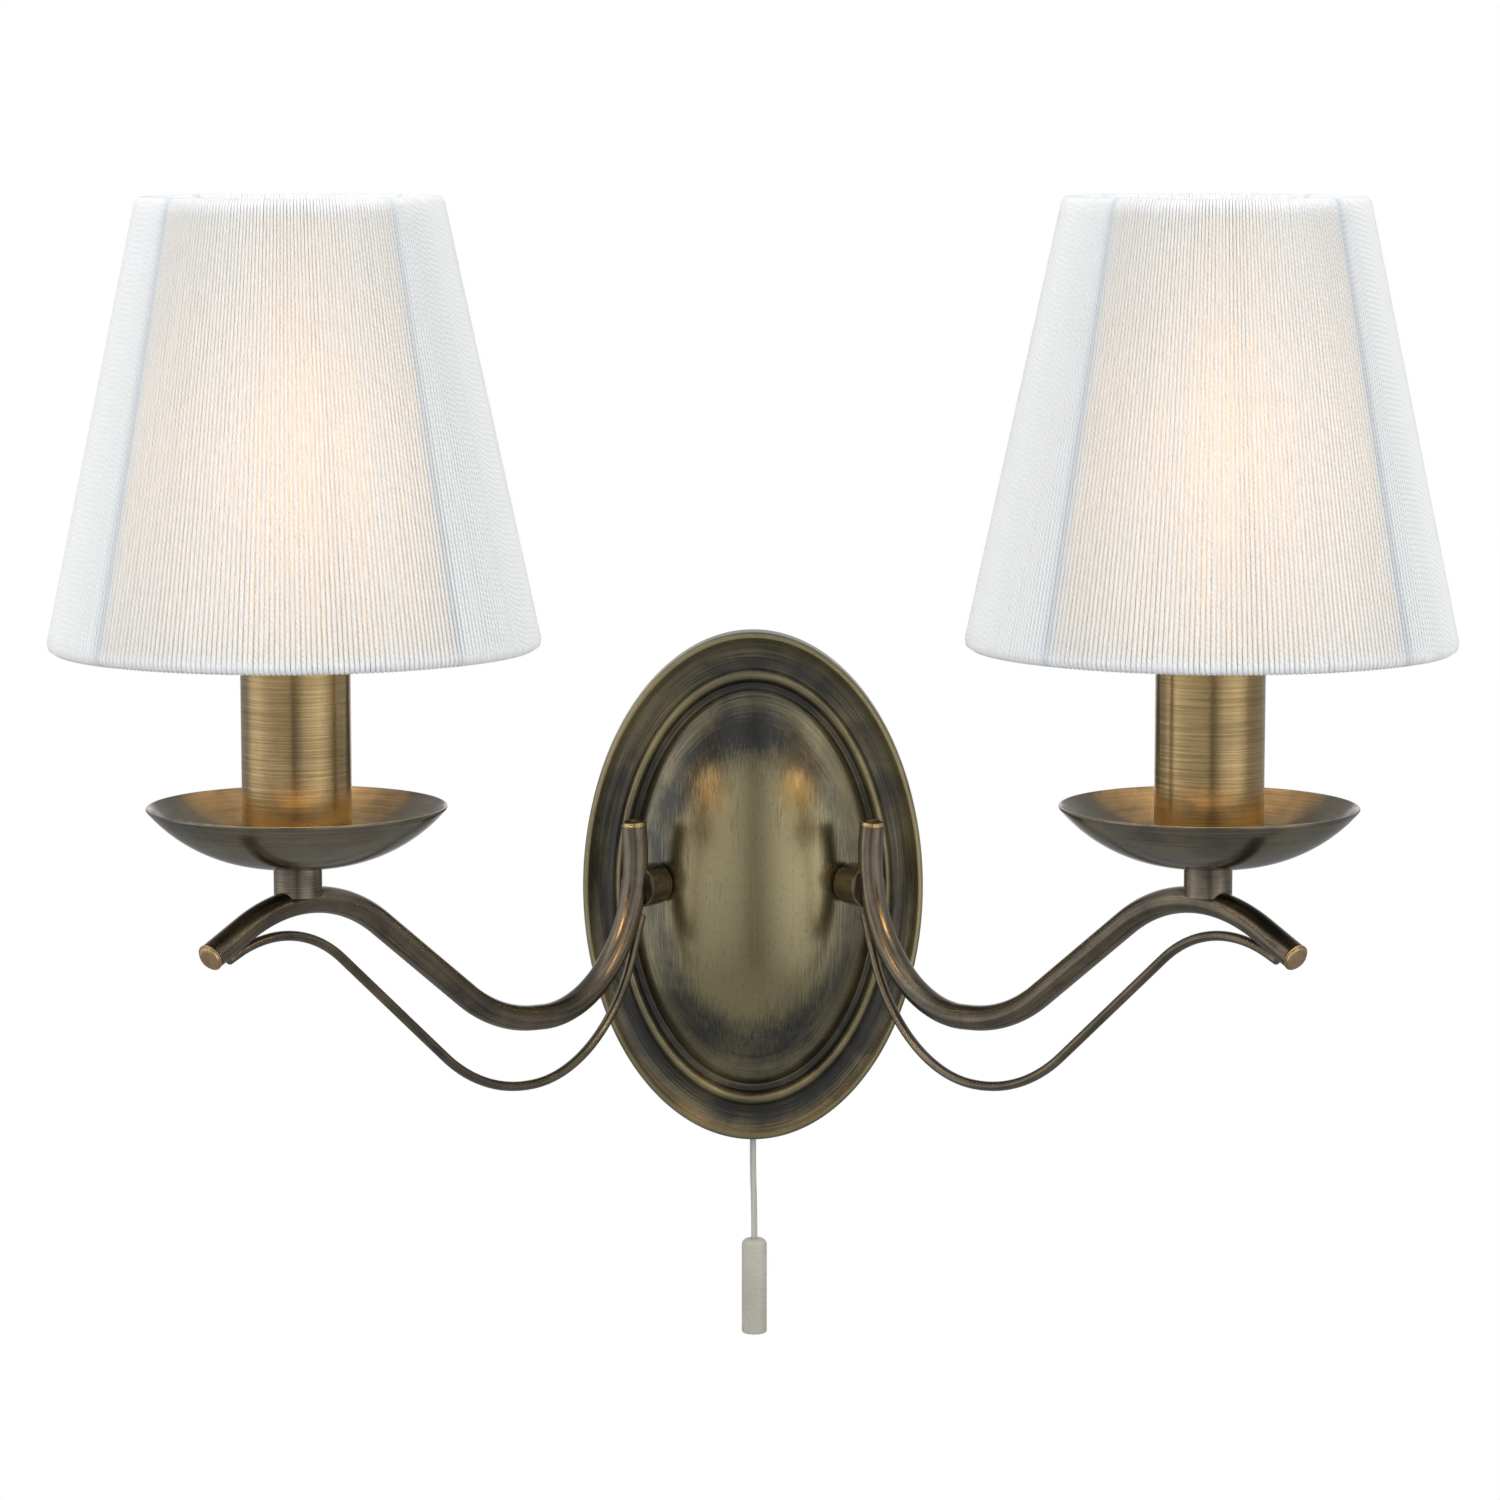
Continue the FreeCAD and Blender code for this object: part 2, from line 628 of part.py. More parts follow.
def earth_screw():
    """Pan head earth screw with its cup washer, on the strap."""
    place = Vector(EARTH_SCREW_OFFSET, 0, -EARTH_SCREW_DROP)
    front = Vector(0, -1, 0)
    face = place + front * (BRACKET_SHEET + SEAT_GAP)
    bore = EARTH_SCREW_DIAMETER + 2.0 * SEAT_GAP
    washer = tube(face, front, EARTH_WASHER_DIAMETER, bore, EARTH_WASHER_THICKNESS)
    head_foot = face + front * (EARTH_WASHER_THICKNESS + SEAT_GAP)
    head = cylinder(head_foot, front, EARTH_HEAD_DIAMETER, EARTH_HEAD_THICKNESS)
    head = head.makeFillet(EARTH_HEAD_ROUND, [head.Edges[0]])
    start = place + front * SEAT_GAP
    length = BRACKET_SHEET + EARTH_WASHER_THICKNESS + EARTH_HEAD_THICKNESS / 2.0
    shank = cylinder(start, front, EARTH_SCREW_DIAMETER, length)
    slot_centre = head_foot + front * EARTH_HEAD_THICKNESS
    slot_run = EARTH_HEAD_DIAMETER + 1.0
    slot = centred_box(slot_run, 2.0 * EARTH_SLOT_DEPTH, EARTH_SLOT_WIDTH, slot_centre)
    return Part.makeCompound([washer, head.fuse(shank).cut(slot)])


# ------------------------------------------------------------ terminal block
def pole_places():
    """Middle of each terminal pole."""
    first = -(POLE_COUNT - 1) / 2.0 * POLE_PITCH
    depth = strap_front() - POLE_DEPTH
    return [Vector(first + POLE_PITCH * step, depth, 0) for step in range(POLE_COUNT)]


def terminal_block():
    """Moulded block with a bore for each pole and a well over each clamping screw."""
    centre = Vector(0, strap_front() - BLOCK_DEPTH / 2.0, 0)
    block = centred_box(BLOCK_LENGTH, BLOCK_DEPTH, BLOCK_HEIGHT, centre)
    block = block.makeFillet(BLOCK_ROUND, block.Edges)
    for place in pole_places():
        start = place - Vector(0, 0, BLOCK_HEIGHT / 2.0 + 1.0)
        hole = POLE_DIAMETER + 2.0 * SEAT_GAP
        block = block.cut(cylinder(start, Vector(0, 0, 1), hole, BLOCK_HEIGHT + 2.0))
        for side in (-1, 1):
            start = place + Vector(0, 0, side * POLE_SCREW_SPREAD)
            block = block.cut(cylinder(start, Vector(0, -1, 0), POLE_SCREW_WELL, BLOCK_DEPTH))
    return block


def terminal_inserts():
    """Brass tubes that hold the wires, one for each pole."""
    inserts = []
    for place in pole_places():
        length = BLOCK_HEIGHT - 2.0 * POLE_INSET
        start = place - Vector(0, 0, length / 2.0)
        insert = tube(start, Vector(0, 0, 1), POLE_DIAMETER, POLE_BORE, length)
        for side in (-1, 1):
            hole_start = place + Vector(0, 0, side * POLE_SCREW_SPREAD)
            hole = POLE_SCREW_DIAMETER + 2.0 * SEAT_GAP
            insert = insert.cut(cylinder(hole_start, Vector(0, -1, 0), hole, POLE_DIAMETER))
        inserts.append(insert)
    return Part.makeCompound(inserts)


def terminal_screws():
    """Clamping screws, two for each pole."""
    screws = []
    face = strap_front() - BLOCK_DEPTH + POLE_SCREW_RECESS
    for place in pole_places():
        for side in (-1, 1):
            start = place + Vector(0, -POLE_BORE / 4.0, side * POLE_SCREW_SPREAD)
            length = start.y - face
            screw = cylinder(start, Vector(0, -1, 0), POLE_SCREW_DIAMETER, length)
            run = POLE_SCREW_DIAMETER + 1.0
            middle = Vector(start.x, face, start.z)
            slot = centred_box(run, 2.0 * POLE_SCREW_SLOT_DEPTH, POLE_SCREW_SLOT, middle)
            screws.append(screw.cut(slot))
    return Part.makeCompound(screws)


# --------------------------------------------------------------- pull switch
def switch_housing():
    """Moulded housing with a slider bore, a spring chamber and two screw bores."""
    middle = -(SWITCH_TOP_DROP + SWITCH_HEIGHT / 2.0)
    centre = Vector(0, strap_front() - SWITCH_DEPTH / 2.0, middle)
    housing = centred_box(SWITCH_WIDTH, SWITCH_DEPTH, SWITCH_HEIGHT, centre)
    housing = housing.makeFillet(SWITCH_ROUND, housing.Edges)
    floor = -(SWITCH_TOP_DROP + SWITCH_HEIGHT - SWITCH_WALL)
    bore = SLIDER_DIAMETER + 2.0 * GUIDE_GAP
    length = SWITCH_HEIGHT - 2.0 * SWITCH_WALL
    housing = housing.cut(cylinder(Vector(0, -CORD_DEPTH, floor), Vector(0, 0, 1), bore, length))
    start = Vector(0, -CORD_DEPTH, floor - SWITCH_WALL - 1.0)
    bore = CORD_DIAMETER + 2.0 * GUIDE_GAP
    housing = housing.cut(cylinder(start, Vector(0, 0, 1), bore, SWITCH_WALL + 2.0))
    for place in switch_screw_places():
        bore = SWITCH_SCREW_DIAMETER + 2.0 * SEAT_GAP
        housing = housing.cut(cylinder(place, Vector(0, -1, 0), bore, SWITCH_DEPTH + 4.0))
    return housing


def switch_screws():
    """Screws that hold the switch to the bracket's tongue."""
    screws = []
    front = Vector(0, -1, 0)
    for place in switch_screw_places():
        face = BRACKET_SHEET + SEAT_GAP + SWITCH_DEPTH + SEAT_GAP
        shank = cylinder(place + front * SEAT_GAP, front, SWITCH_SCREW_DIAMETER, face)
        head = cylinder(place + front * face, front, SWITCH_SCREW_HEAD, SWITCH_SCREW_HEAD_HEIGHT)
        screws.append(shank.fuse(head))
    return Part.makeCompound(screws)


def switch_slider():
    """Plunger that the cord pulls down, held at the top of its bore at rest."""
    start = Vector(0, -CORD_DEPTH, slider_rest_top() - SLIDER_LENGTH)
    slider = cylinder(start, Vector(0, 0, 1), SLIDER_DIAMETER, SLIDER_LENGTH)
    bore = CORD_DIAMETER + 2.0 * SEAT_GAP
    return slider.cut(cylinder(start, Vector(0, 0, 1), bore, SLIDER_CORD_DEPTH))


def switch_spring():
    """Return spring under the slider, as a sleeve of its outer and inner sizes."""
    floor = -(SWITCH_TOP_DROP + SWITCH_HEIGHT - SWITCH_WALL) + SEAT_GAP
    top = slider_rest_top() - SLIDER_LENGTH - SEAT_GAP
    start = Vector(0, -CORD_DEPTH, floor)
    return tube(start, Vector(0, 0, 1), SPRING_DIAMETER, SPRING_BORE, top - floor)


def switch_cord():
    """Straight inner stretch of the cord, from the slider to the mouth of the bush."""
    top = slider_rest_top() - SLIDER_LENGTH + SLIDER_CORD_DEPTH - SEAT_GAP
    start = Vector(0, -CORD_DEPTH, bush_mouth())
    return cylinder(start, Vector(0, 0, 1), CORD_DIAMETER, top - bush_mouth())


def cord_bush():
    """Flanged bush that lines the cord's hole in the rim."""
    up = Vector(0, 0, 1)
    start = Vector(0, -CORD_DEPTH, bush_mouth())
    bush = cylinder(start, up, BUSH_DIAMETER, PLATE_SHEET + BUSH_STANDOFF + BUSH_FLANGE_THICKNESS)
    seat = start + up * (PLATE_SHEET + BUSH_STANDOFF)
    bush = bush.fuse(cylinder(seat, up, BUSH_FLANGE_DIAMETER, BUSH_FLANGE_THICKNESS))
    bore = CORD_DIAMETER + 2.0 * GUIDE_GAP
    return bush.cut(cylinder(start - up, up, bore, PLATE_SHEET + BUSH_FLANGE_THICKNESS + 3.0))


def cord_swing_height():
    """Height of the point that the hanging cord swings about, under the bush."""
    return bush_mouth() - CORD_DIAMETER / 2.0 - SEAT_GAP


def cord_places():
    """Route of the hanging cord from its swinging end to the handle."""
    places = []
    for sideways, drop in CORD_ROUTE:
        places.append(Vector(sideways, -CORD_DEPTH, cord_swing_height() - drop))
    return places


def cord_radii(places):
    """Largest bend that each inner point of the route has room for."""
    radii = []
    for before, corner, after in zip(places, places[1:], places[2:]):
        back = before - corner
        ahead = after - corner
        half_turn = (math.pi - back.getAngle(ahead)) / 2.0
        radii.append(0.45 * min(back.Length, ahead.Length) / math.tan(half_turn))
    return radii


def pull_cord():
    """Free stretch of the cord, with a rounded end that turns under the bush."""
    places = cord_places()
    radii = cord_radii(places)
    cord = rod_along(places, radii, CORD_DIAMETER)
    route = route_wire(places, radii)
    section = math.pi * (CORD_DIAMETER / 2.0) ** 2
    print("pull cord radii", [round(radius, 1) for radius in radii])
    print("pull cord length %.2f" % route.Length)
    print("pull cord volume ratio %.4f" % (cord.Volume / (section * route.Length)))
    return cord.fuse(Part.makeSphere(CORD_DIAMETER / 2.0, places[0]))


def pull_handle():
    """Moulded handle, hollow from below, with a cord bore through its top."""
    end = cord_places()[-1]
    up = Vector(0, 0, 1)
    foot = end - up * HANDLE_LENGTH
    handle = cylinder(foot, up, HANDLE_DIAMETER, HANDLE_LENGTH)
    rims = [edge for edge in handle.Edges if len(edge.Vertexes) == 1]
    top_rim = max(rims, key=lambda edge: edge.CenterOfMass.z)
    handle = handle.makeFillet(HANDLE_TOP_ROUND, [top_rim])
    rims = [edge for edge in handle.Edges if len(edge.Vertexes) == 1]
    foot_rim = min(rims, key=lambda edge: edge.CenterOfMass.z)
    handle = handle.makeFillet(HANDLE_FOOT_ROUND, [foot_rim])
    cavity = cylinder(foot - up, up, HANDLE_CAVITY_DIAMETER, HANDLE_CAVITY_LENGTH + 1.0)
    bore = cylinder(foot, up, CORD_DIAMETER + 2.0 * SEAT_GAP, HANDLE_LENGTH + 1.0)
    return handle.cut(cavity).cut(bore)


def cord_knot():
    """Knotted end of the cord inside the handle."""
    end = cord_places()[-1]
    up = Vector(0, 0, 1)
    ceiling = end - up * (HANDLE_LENGTH - HANDLE_CAVITY_LENGTH)
    centre = ceiling - up * (KNOT_DIAMETER / 2.0 + SEAT_GAP)
    knot = Part.makeSphere(KNOT_DIAMETER / 2.0, centre)
    return knot.fuse(cylinder(centre, up, CORD_DIAMETER, end.z - SEAT_GAP - centre.z))


# ---------------------------------------------------------------------- arms
def arm_route(side):
    """Corner points of an arm tube, from its outer tip to its upper end."""
    places = (ARM_TIP, ARM_CREST, ARM_FALL, ARM_RISE, ARM_NECK, ARM_TOP)
    return [arm_point(side, place) for place in places]


def arm_solid(side, diameter):
    """Solid bar along an arm's route."""
    radii = (ARM_CREST_RADIUS, ARM_FALL_RADIUS, ARM_RISE_RADIUS, ARM_NECK_RADIUS)
    return rod_along(arm_route(side), radii, diameter)


def arm_tube(side, outside):
    """Bent tube with wire holes under the stem and behind the boss."""
    arm = outside.cut(arm_solid(side, ARM_TUBE_DIAMETER - 2.0 * ARM_TUBE_WALL))
    crest = stem_axis(side, stem_tube_height())
    arm = arm.cut(cylinder(crest, Vector(0, 0, 1), WIRE_HOLE, ARM_TUBE_DIAMETER))
    root = arm_point(side, (arm_plane_offset(), BOSS_HEIGHT))
    return arm.cut(cylinder(root, outward(side) * -1.0, WIRE_HOLE, ARM_TUBE_DIAMETER))


def stem_tube_height():
    """Height of the arm tube's centreline on the stem axis."""
    centre = bend_centre(ARM_TIP, ARM_CREST, ARM_FALL, ARM_CREST_RADIUS)
    return centre[1] + math.sqrt(ARM_CREST_RADIUS ** 2 - centre[0] ** 2)


def end_cap(mouth, heading):
    """Rounded disc with a plug that fits the end of the arm tube."""
    diameter = ARM_TUBE_DIAMETER + 2.0 * END_CAP_LIP
    disc = cylinder(mouth + heading * SEAT_GAP, heading, diameter, END_CAP_THICKNESS)
    rims = [edge for edge in disc.Edges if len(edge.Vertexes) == 1]
    disc = disc.makeFillet(END_CAP_ROUND, rims)
    bore = ARM_TUBE_DIAMETER - 2.0 * ARM_TUBE_WALL - 2.0 * SEAT_GAP
    start = mouth - heading * END_CAP_PLUG
    return disc.fuse(cylinder(start, heading, bore, END_CAP_PLUG + END_CAP_THICKNESS / 2.0))


def end_caps(side):
    """Caps on the outer tip and the upper end of one arm."""
    route = arm_route(side)
    tip = end_cap(route[0], (route[0] - route[1]).normalize())
    top = end_cap(route[-1], (route[-1] - route[-2]).normalize())
    return Part.makeCompound([tip, top])


def scroll_rod(side, tube_body):
    """Thin wire scroll brazed under the arm, its ends shaped to the tube."""
    places = (SCROLL_TIP, SCROLL_CREST, SCROLL_FALL, SCROLL_RISE, SCROLL_TOP)
    radii = (SCROLL_CREST_RADIUS, SCROLL_FALL_RADIUS, SCROLL_RISE_RADIUS)
    rod = rod_along([arm_point(side, place) for place in places], radii, SCROLL_DIAMETER)
    rod = rod.cut(tube_body)
    return max(rod.Solids, key=lambda solid: solid.Volume)


def arm_boss(side, tube_body, plate_outside):
    """Short round boss between the dome and the arm, threaded for its nipple."""
    inward = outward(side) * -1.0
    root = arm_point(side, (arm_plane_offset(), BOSS_HEIGHT))
    start = root + inward * (TUBE_RADIUS - BOSS_SADDLE)
    reach = BOSS_LENGTH + BOSS_SADDLE
    boss = cylinder(start, inward, BOSS_DIAMETER, reach + BOSS_RUN_ON)
    rims = [edge for edge in boss.Edges if len(edge.Vertexes) == 1]
    end_rim = max(rims, key=lambda edge: (edge.CenterOfMass - start).Length)
    boss = boss.makeFillet(BOSS_ROUND, [end_rim])
    boss = boss.cut(tube_body).cut(plate_outside)
    socket_start = root + inward * (TUBE_RADIUS + NIPPLE_SOCKET)
    socket = cylinder(socket_start, inward, NIPPLE_DIAMETER + 2.0 * SEAT_GAP, reach)
    return boss.cut(socket).cut(cylinder(root, inward, WIRE_HOLE, TUBE_RADIUS + reach))


def boss_washer_start():
    """Distance from the tube's centre to the washer inside the dome."""
    return TUBE_RADIUS + BOSS_LENGTH + PLATE_SHEET + WASHER_STANDOFF


def boss_nipple(side):
    """Threaded tube that ties the boss to the backplate and carries the lamp wire."""
    inward = outward(side) * -1.0
    root = arm_point(side, (arm_plane_offset(), BOSS_HEIGHT))
    start = TUBE_RADIUS + NIPPLE_SOCKET + SEAT_GAP
    end = boss_washer_start() + WASHER_THICKNESS + NUT_THICKNESS + NIPPLE_TAIL
    return tube(root + inward * start, inward, NIPPLE_DIAMETER, NIPPLE_BORE, end - start)


def boss_washer(side):
    """Washer inside the dome."""
    inward = outward(side) * -1.0
    root = arm_point(side, (arm_plane_offset(), BOSS_HEIGHT))
    bore = NIPPLE_DIAMETER + 4.0 * SEAT_GAP
    start = root + inward * boss_washer_start()
    return tube(start, inward, WASHER_DIAMETER, bore, WASHER_THICKNESS)


def boss_nut(side):
    """Hexagon nut that clamps the arm to the backplate."""
    inward = outward(side) * -1.0
    root = arm_point(side, (arm_plane_offset(), BOSS_HEIGHT))
    start = root + inward * (boss_washer_start() + WASHER_THICKNESS + SEAT_GAP)
    nut = hexagon(start, inward, NUT_FLATS, NUT_THICKNESS)
    bore = NIPPLE_DIAMETER + 2.0 * SEAT_GAP
    return nut.cut(cylinder(start - inward, inward, bore, NUT_THICKNESS + 2.0))


# ---------------------------------------------------------- stem and sleeve
def stem_collar(side, tube_body):
    """Round collar brazed on the arm's crest, threaded for the stem nipple."""
    up = Vector(0, 0, 1)
    foot = stem_tube_height() + COLLAR_FOOT_RISE
    start = stem_axis(side, foot)
    length = DISH_SEAT_HEIGHT - foot
    collar = cylinder(start, up, COLLAR_DIAMETER, length).cut(tube_body)
    socket = stem_axis(side, stem_tube_height() + TUBE_RADIUS + NIPPLE_SOCKET)
    collar = collar.cut(cylinder(socket, up, NIPPLE_DIAMETER + 2.0 * SEAT_GAP, length))
    return collar.cut(cylinder(start - up, up, WIRE_HOLE, length + 2.0))


def dish_bow():
    """Radius of the arc that curves the dish's wall."""
    run = DISH_RADIUS - DISH_FLAT_RADIUS
    return (run ** 2 + DISH_RISE ** 2) / (2.0 * DISH_RISE)


def standing_height(radius):
    """Height of a round foot whose outer corner stands on the dish's curved wall."""
    bow = dish_bow()
    reach = max(0.0, radius - DISH_FLAT_RADIUS)
    return DISH_SEAT_HEIGHT + bow - math.sqrt((bow - DISH_SHEET) ** 2 - reach ** 2) + SEAT_GAP


def dish_outline(side, inset):
    """Curved wall of the dish in section, as (foot, middle, rim) points."""
    run = DISH_RADIUS - DISH_FLAT_RADIUS
    bow = dish_bow()
    centre_height = DISH_SEAT_HEIGHT + bow
    lean = math.asin(run / bow)
    points = []
    for share in (0.0, 0.5, 1.0):
        reach = (bow - inset) * math.sin(lean * share)
        height = centre_height - (bow - inset) * math.cos(lean * share)
        points.append(stem_axis(side, height) + Vector(DISH_FLAT_RADIUS + reach, 0, 0))
    return points


def drip_dish(side):
    """Shallow spun dish with a flat seat and a hole for the stem nipple."""
    outer = dish_outline(side, 0.0)
    inner = dish_outline(side, DISH_SHEET)
    foot = stem_axis(side, DISH_SEAT_HEIGHT)
    floor = stem_axis(side, dish_floor())
    edges = [line(foot, outer[0])]
    edges.append(Part.Arc(outer[0], outer[1], outer[2]).toShape())
    edges.append(line(outer[2], inner[2]))
    edges.append(Part.Arc(inner[2], inner[1], inner[0]).toShape())
    edges.append(line(inner[0], floor))
    edges.append(line(floor, foot))
    dish = turned(edges, foot)
    start = foot - Vector(0, 0, 1)
    hole = NIPPLE_DIAMETER + 4.0 * SEAT_GAP
    return dish.cut(cylinder(start, Vector(0, 0, 1), hole, DISH_SHEET + 2.0))


def stem_nipple(side):
    """Threaded tube from the collar through the dish into the lampholder."""
    foot = stem_tube_height() + TUBE_RADIUS + NIPPLE_SOCKET + SEAT_GAP
    length = dish_floor() + STEM_NIPPLE_RISE - foot
    return tube(stem_axis(side, foot), Vector(0, 0, 1), NIPPLE_DIAMETER, NIPPLE_BORE, length)


def candle_sleeve(side):
    """Brushed tube that covers the lampholder and stands in the dish."""
    foot = stem_axis(side, standing_height(SLEEVE_DIAMETER / 2.0))
    bore = SLEEVE_DIAMETER - 2.0 * SLEEVE_WALL
    sleeve = tube(foot, Vector(0, 0, 1), SLEEVE_DIAMETER, bore, SLEEVE_HEIGHT)
    rims = [edge for edge in sleeve.Edges if len(edge.Vertexes) == 1]
    top = max(edge.CenterOfMass.z for edge in rims)
    top_rims = [edge for edge in rims if edge.CenterOfMass.z > top - 0.1]
    return sleeve.makeChamfer(SLEEVE_CHAMFER, top_rims)


# ---------------------------------------------------------- lampholder, lamp
def lampholder_body(side):
    """Lower half of the lampholder, screwed on the stem nipple."""
    up = Vector(0, 0, 1)
    foot = stem_axis(side, dish_floor() + SEAT_GAP)
    skirt = stem_axis(side, standing_height(HOLDER_DIAMETER / 2.0))
    body = cylinder(skirt, up, HOLDER_DIAMETER, socket_base() - skirt.z)
    step = cylinder(foot, up, 2.0 * (DISH_FLAT_RADIUS - SEAT_GAP), HOLDER_BASE)
    body = body.fuse(step)
    cavity = HOLDER_DIAMETER - 2.0 * HOLDER_WALL
    body = body.cut(cylinder(foot + up * HOLDER_BASE, up, cavity, HOLDER_BODY_HEIGHT))
    thread = NIPPLE_DIAMETER + 2.0 * SEAT_GAP
    return body.cut(cylinder(foot - up, up, thread, HOLDER_BASE + 2.0))


def lampholder_socket(side):
    """Upper half of the lampholder, a cup that holds the threaded liner."""
    up = Vector(0, 0, 1)
    foot = stem_axis(side, socket_base() + SEAT_GAP)
    socket = cylinder(foot, up, HOLDER_DIAMETER, SOCKET_HEIGHT)
    bore = LINER_DIAMETER + 2.0 * SEAT_GAP
    socket = socket.cut(cylinder(foot + up * SOCKET_FLOOR, up, bore, SOCKET_HEIGHT))
    rims = [edge for edge in socket.Edges if len(edge.Vertexes) == 1]
    top_rim = max(rims, key=lambda edge: edge.CenterOfMass.z * 1000.0 + edge.Length)
    return socket.makeFillet(SOCKET_ROUND, [top_rim])


def lampholder_contact(side):
    """Spring contact disc on the socket's floor."""
    start = stem_axis(side, socket_base() + SOCKET_FLOOR + 2.0 * SEAT_GAP)
    return cylinder(start, Vector(0, 0, 1), CONTACT_DIAMETER, CONTACT_THICKNESS)


def lampholder_liner(side):
    """Threaded metal liner of the socket."""
    start = stem_axis(side, socket_base() + SOCKET_FLOOR + 2.0 * SEAT_GAP)
    return tube(start, Vector(0, 0, 1), LINER_DIAMETER, LINER_BORE, LINER_HEIGHT)


def lamp_cap(side):
    """Lamp's threaded cap with its contact tip."""
    up = Vector(0, 0, 1)
    foot = stem_axis(side, lamp_cap_foot())
    tip = cylinder(foot, up, CAP_TIP_DIAMETER, CAP_TIP_HEIGHT + CAP_FLOOR)
    cone_foot = foot + up * CAP_TIP_HEIGHT
    low = CAP_CONE_FOOT_DIAMETER / 2.0
    cone = Part.makeCone(low, CAP_DIAMETER / 2.0, CAP_CONE_HEIGHT, cone_foot, up)
    barrel_foot = cone_foot + up * CAP_CONE_HEIGHT
    length = CAP_HEIGHT - CAP_TIP_HEIGHT - CAP_CONE_HEIGHT
    barrel = cylinder(barrel_foot, up, CAP_DIAMETER, length)
    bore = CAP_DIAMETER - 2.0 * CAP_WALL
    barrel = barrel.cut(cylinder(barrel_foot + up * CAP_FLOOR, up, bore, length))
    return tip.fuse(cone).fuse(barrel)


def lamp_glass(side):
    """Candle shaped envelope, open at the neck."""
    widest = glass_widest()
    neck = glass_neck() + SEAT_GAP
    bow = taper_radius()
    edges = []
    walls = []
    for inset in (0.0, GLASS_WALL):
        shrink = GLASS_DIAMETER / 2.0 - GLASS_NECK_RADIUS
        drop = widest - neck
        belly = (shrink ** 2 + drop ** 2) / (2.0 * shrink)
        centre = stem_axis(side, widest) + Vector(GLASS_DIAMETER / 2.0 - belly, 0, 0)
        foot_turn = math.degrees(math.asin(drop / (belly - inset)))
        edges.append(arc_about(centre, belly - inset, -foot_turn, 0.0))
        centre = stem_axis(side, widest) + Vector(GLASS_DIAMETER / 2.0 - bow, 0, 0)
        lean = math.degrees(math.asin(GLASS_TAPER_RISE / bow))
        edges.append(arc_about(centre, bow - inset, 0.0, lean))
        ball = GLASS_TIP_RADIUS / math.cos(math.radians(lean))
        tip_height = glass_tip() - ball
        edges.append(arc_about(stem_axis(side, tip_height), ball - inset, lean, 90.0))
        walls.append(edges[-3].Vertexes)
    outer_neck = min(walls[0], key=lambda vertex: vertex.Z).Point
    inner_neck = min(walls[1], key=lambda vertex: vertex.Z).Point
    edges.append(line(outer_neck, inner_neck))
    edges.append(line(stem_axis(side, glass_tip()), stem_axis(side, glass_tip() - GLASS_WALL)))
    return turned(edges, stem_axis(side))


# --------------------------------------------------------------------- shade
def ring_centres():
    """(radius, height) of the bottom ring and the top ring of a shade."""
    cover = RING_WIRE / 2.0 + STRING_GAP + STRING_THICKNESS
    bottom = (SHADE_BOTTOM_RADIUS - cover, SHADE_BOTTOM_HEIGHT + cover)
    top = (SHADE_TOP_RADIUS - cover, SHADE_TOP_HEIGHT - cover)
    return bottom, top


def wall_loop(side, offset):
    """Closed outline round both rings, at one distance from their centres."""
    bottom, top = ring_centres()
    low = stem_axis(side, bottom[1]) + Vector(bottom[0], 0, 0)
    high = stem_axis(side, top[1]) + Vector(top[0], 0, 0)
    slope = math.degrees(math.atan2(high.z - low.z, high.x - low.x))
    outside = slope - 90.0
    edges = [arc_about(low, offset, outside - 180.0, outside)]
    edges.append(arc_about(high, offset, outside, outside + 180.0))
    turn = math.radians(outside)
    shift = Vector(offset * math.cos(turn), 0, offset * math.sin(turn))
    edges.append(line(low + shift, high + shift))
    edges.append(line(high - shift, low - shift))
    return Part.Wire(Part.sortEdges(edges)[0])


def radial(side, angle, radius, height):
    """Point round a stem axis."""
    turn = math.radians(angle)
    return stem_axis(side, height) + Vector(radius * math.cos(turn), radius * math.sin(turn), 0)


def strut_angles():
    """Directions of the struts and the spider's arms."""
    return [STRUT_START + 360.0 / STRUT_COUNT * step for step in range(STRUT_COUNT)]


def spider_disc_foot():
    """Height of the underside of the spider's disc, on top of the barrel."""
    return pivot_height() + BARREL_DIAMETER / 2.0 - SPIDER_DISC_SINK


def straight_bar(start, end, diameter):
    """Round bar between two points."""
    run = end - start
    length = run.Length
    return cylinder(start, run.normalize(), diameter, length)


def spider_arm(side, angle, diameter):
    """One arm from the spider's disc out to the top ring."""
    top = ring_centres()[1]
    inner_height = spider_disc_foot() + SPIDER_DISC_THICKNESS / 2.0
    start = radial(side, angle, SPIDER_DISC_DIAMETER / 2.0 - SPIDER_WIRE / 2.0, inner_height)
    return straight_bar(start, radial(side, angle, top[0], top[1]), diameter)


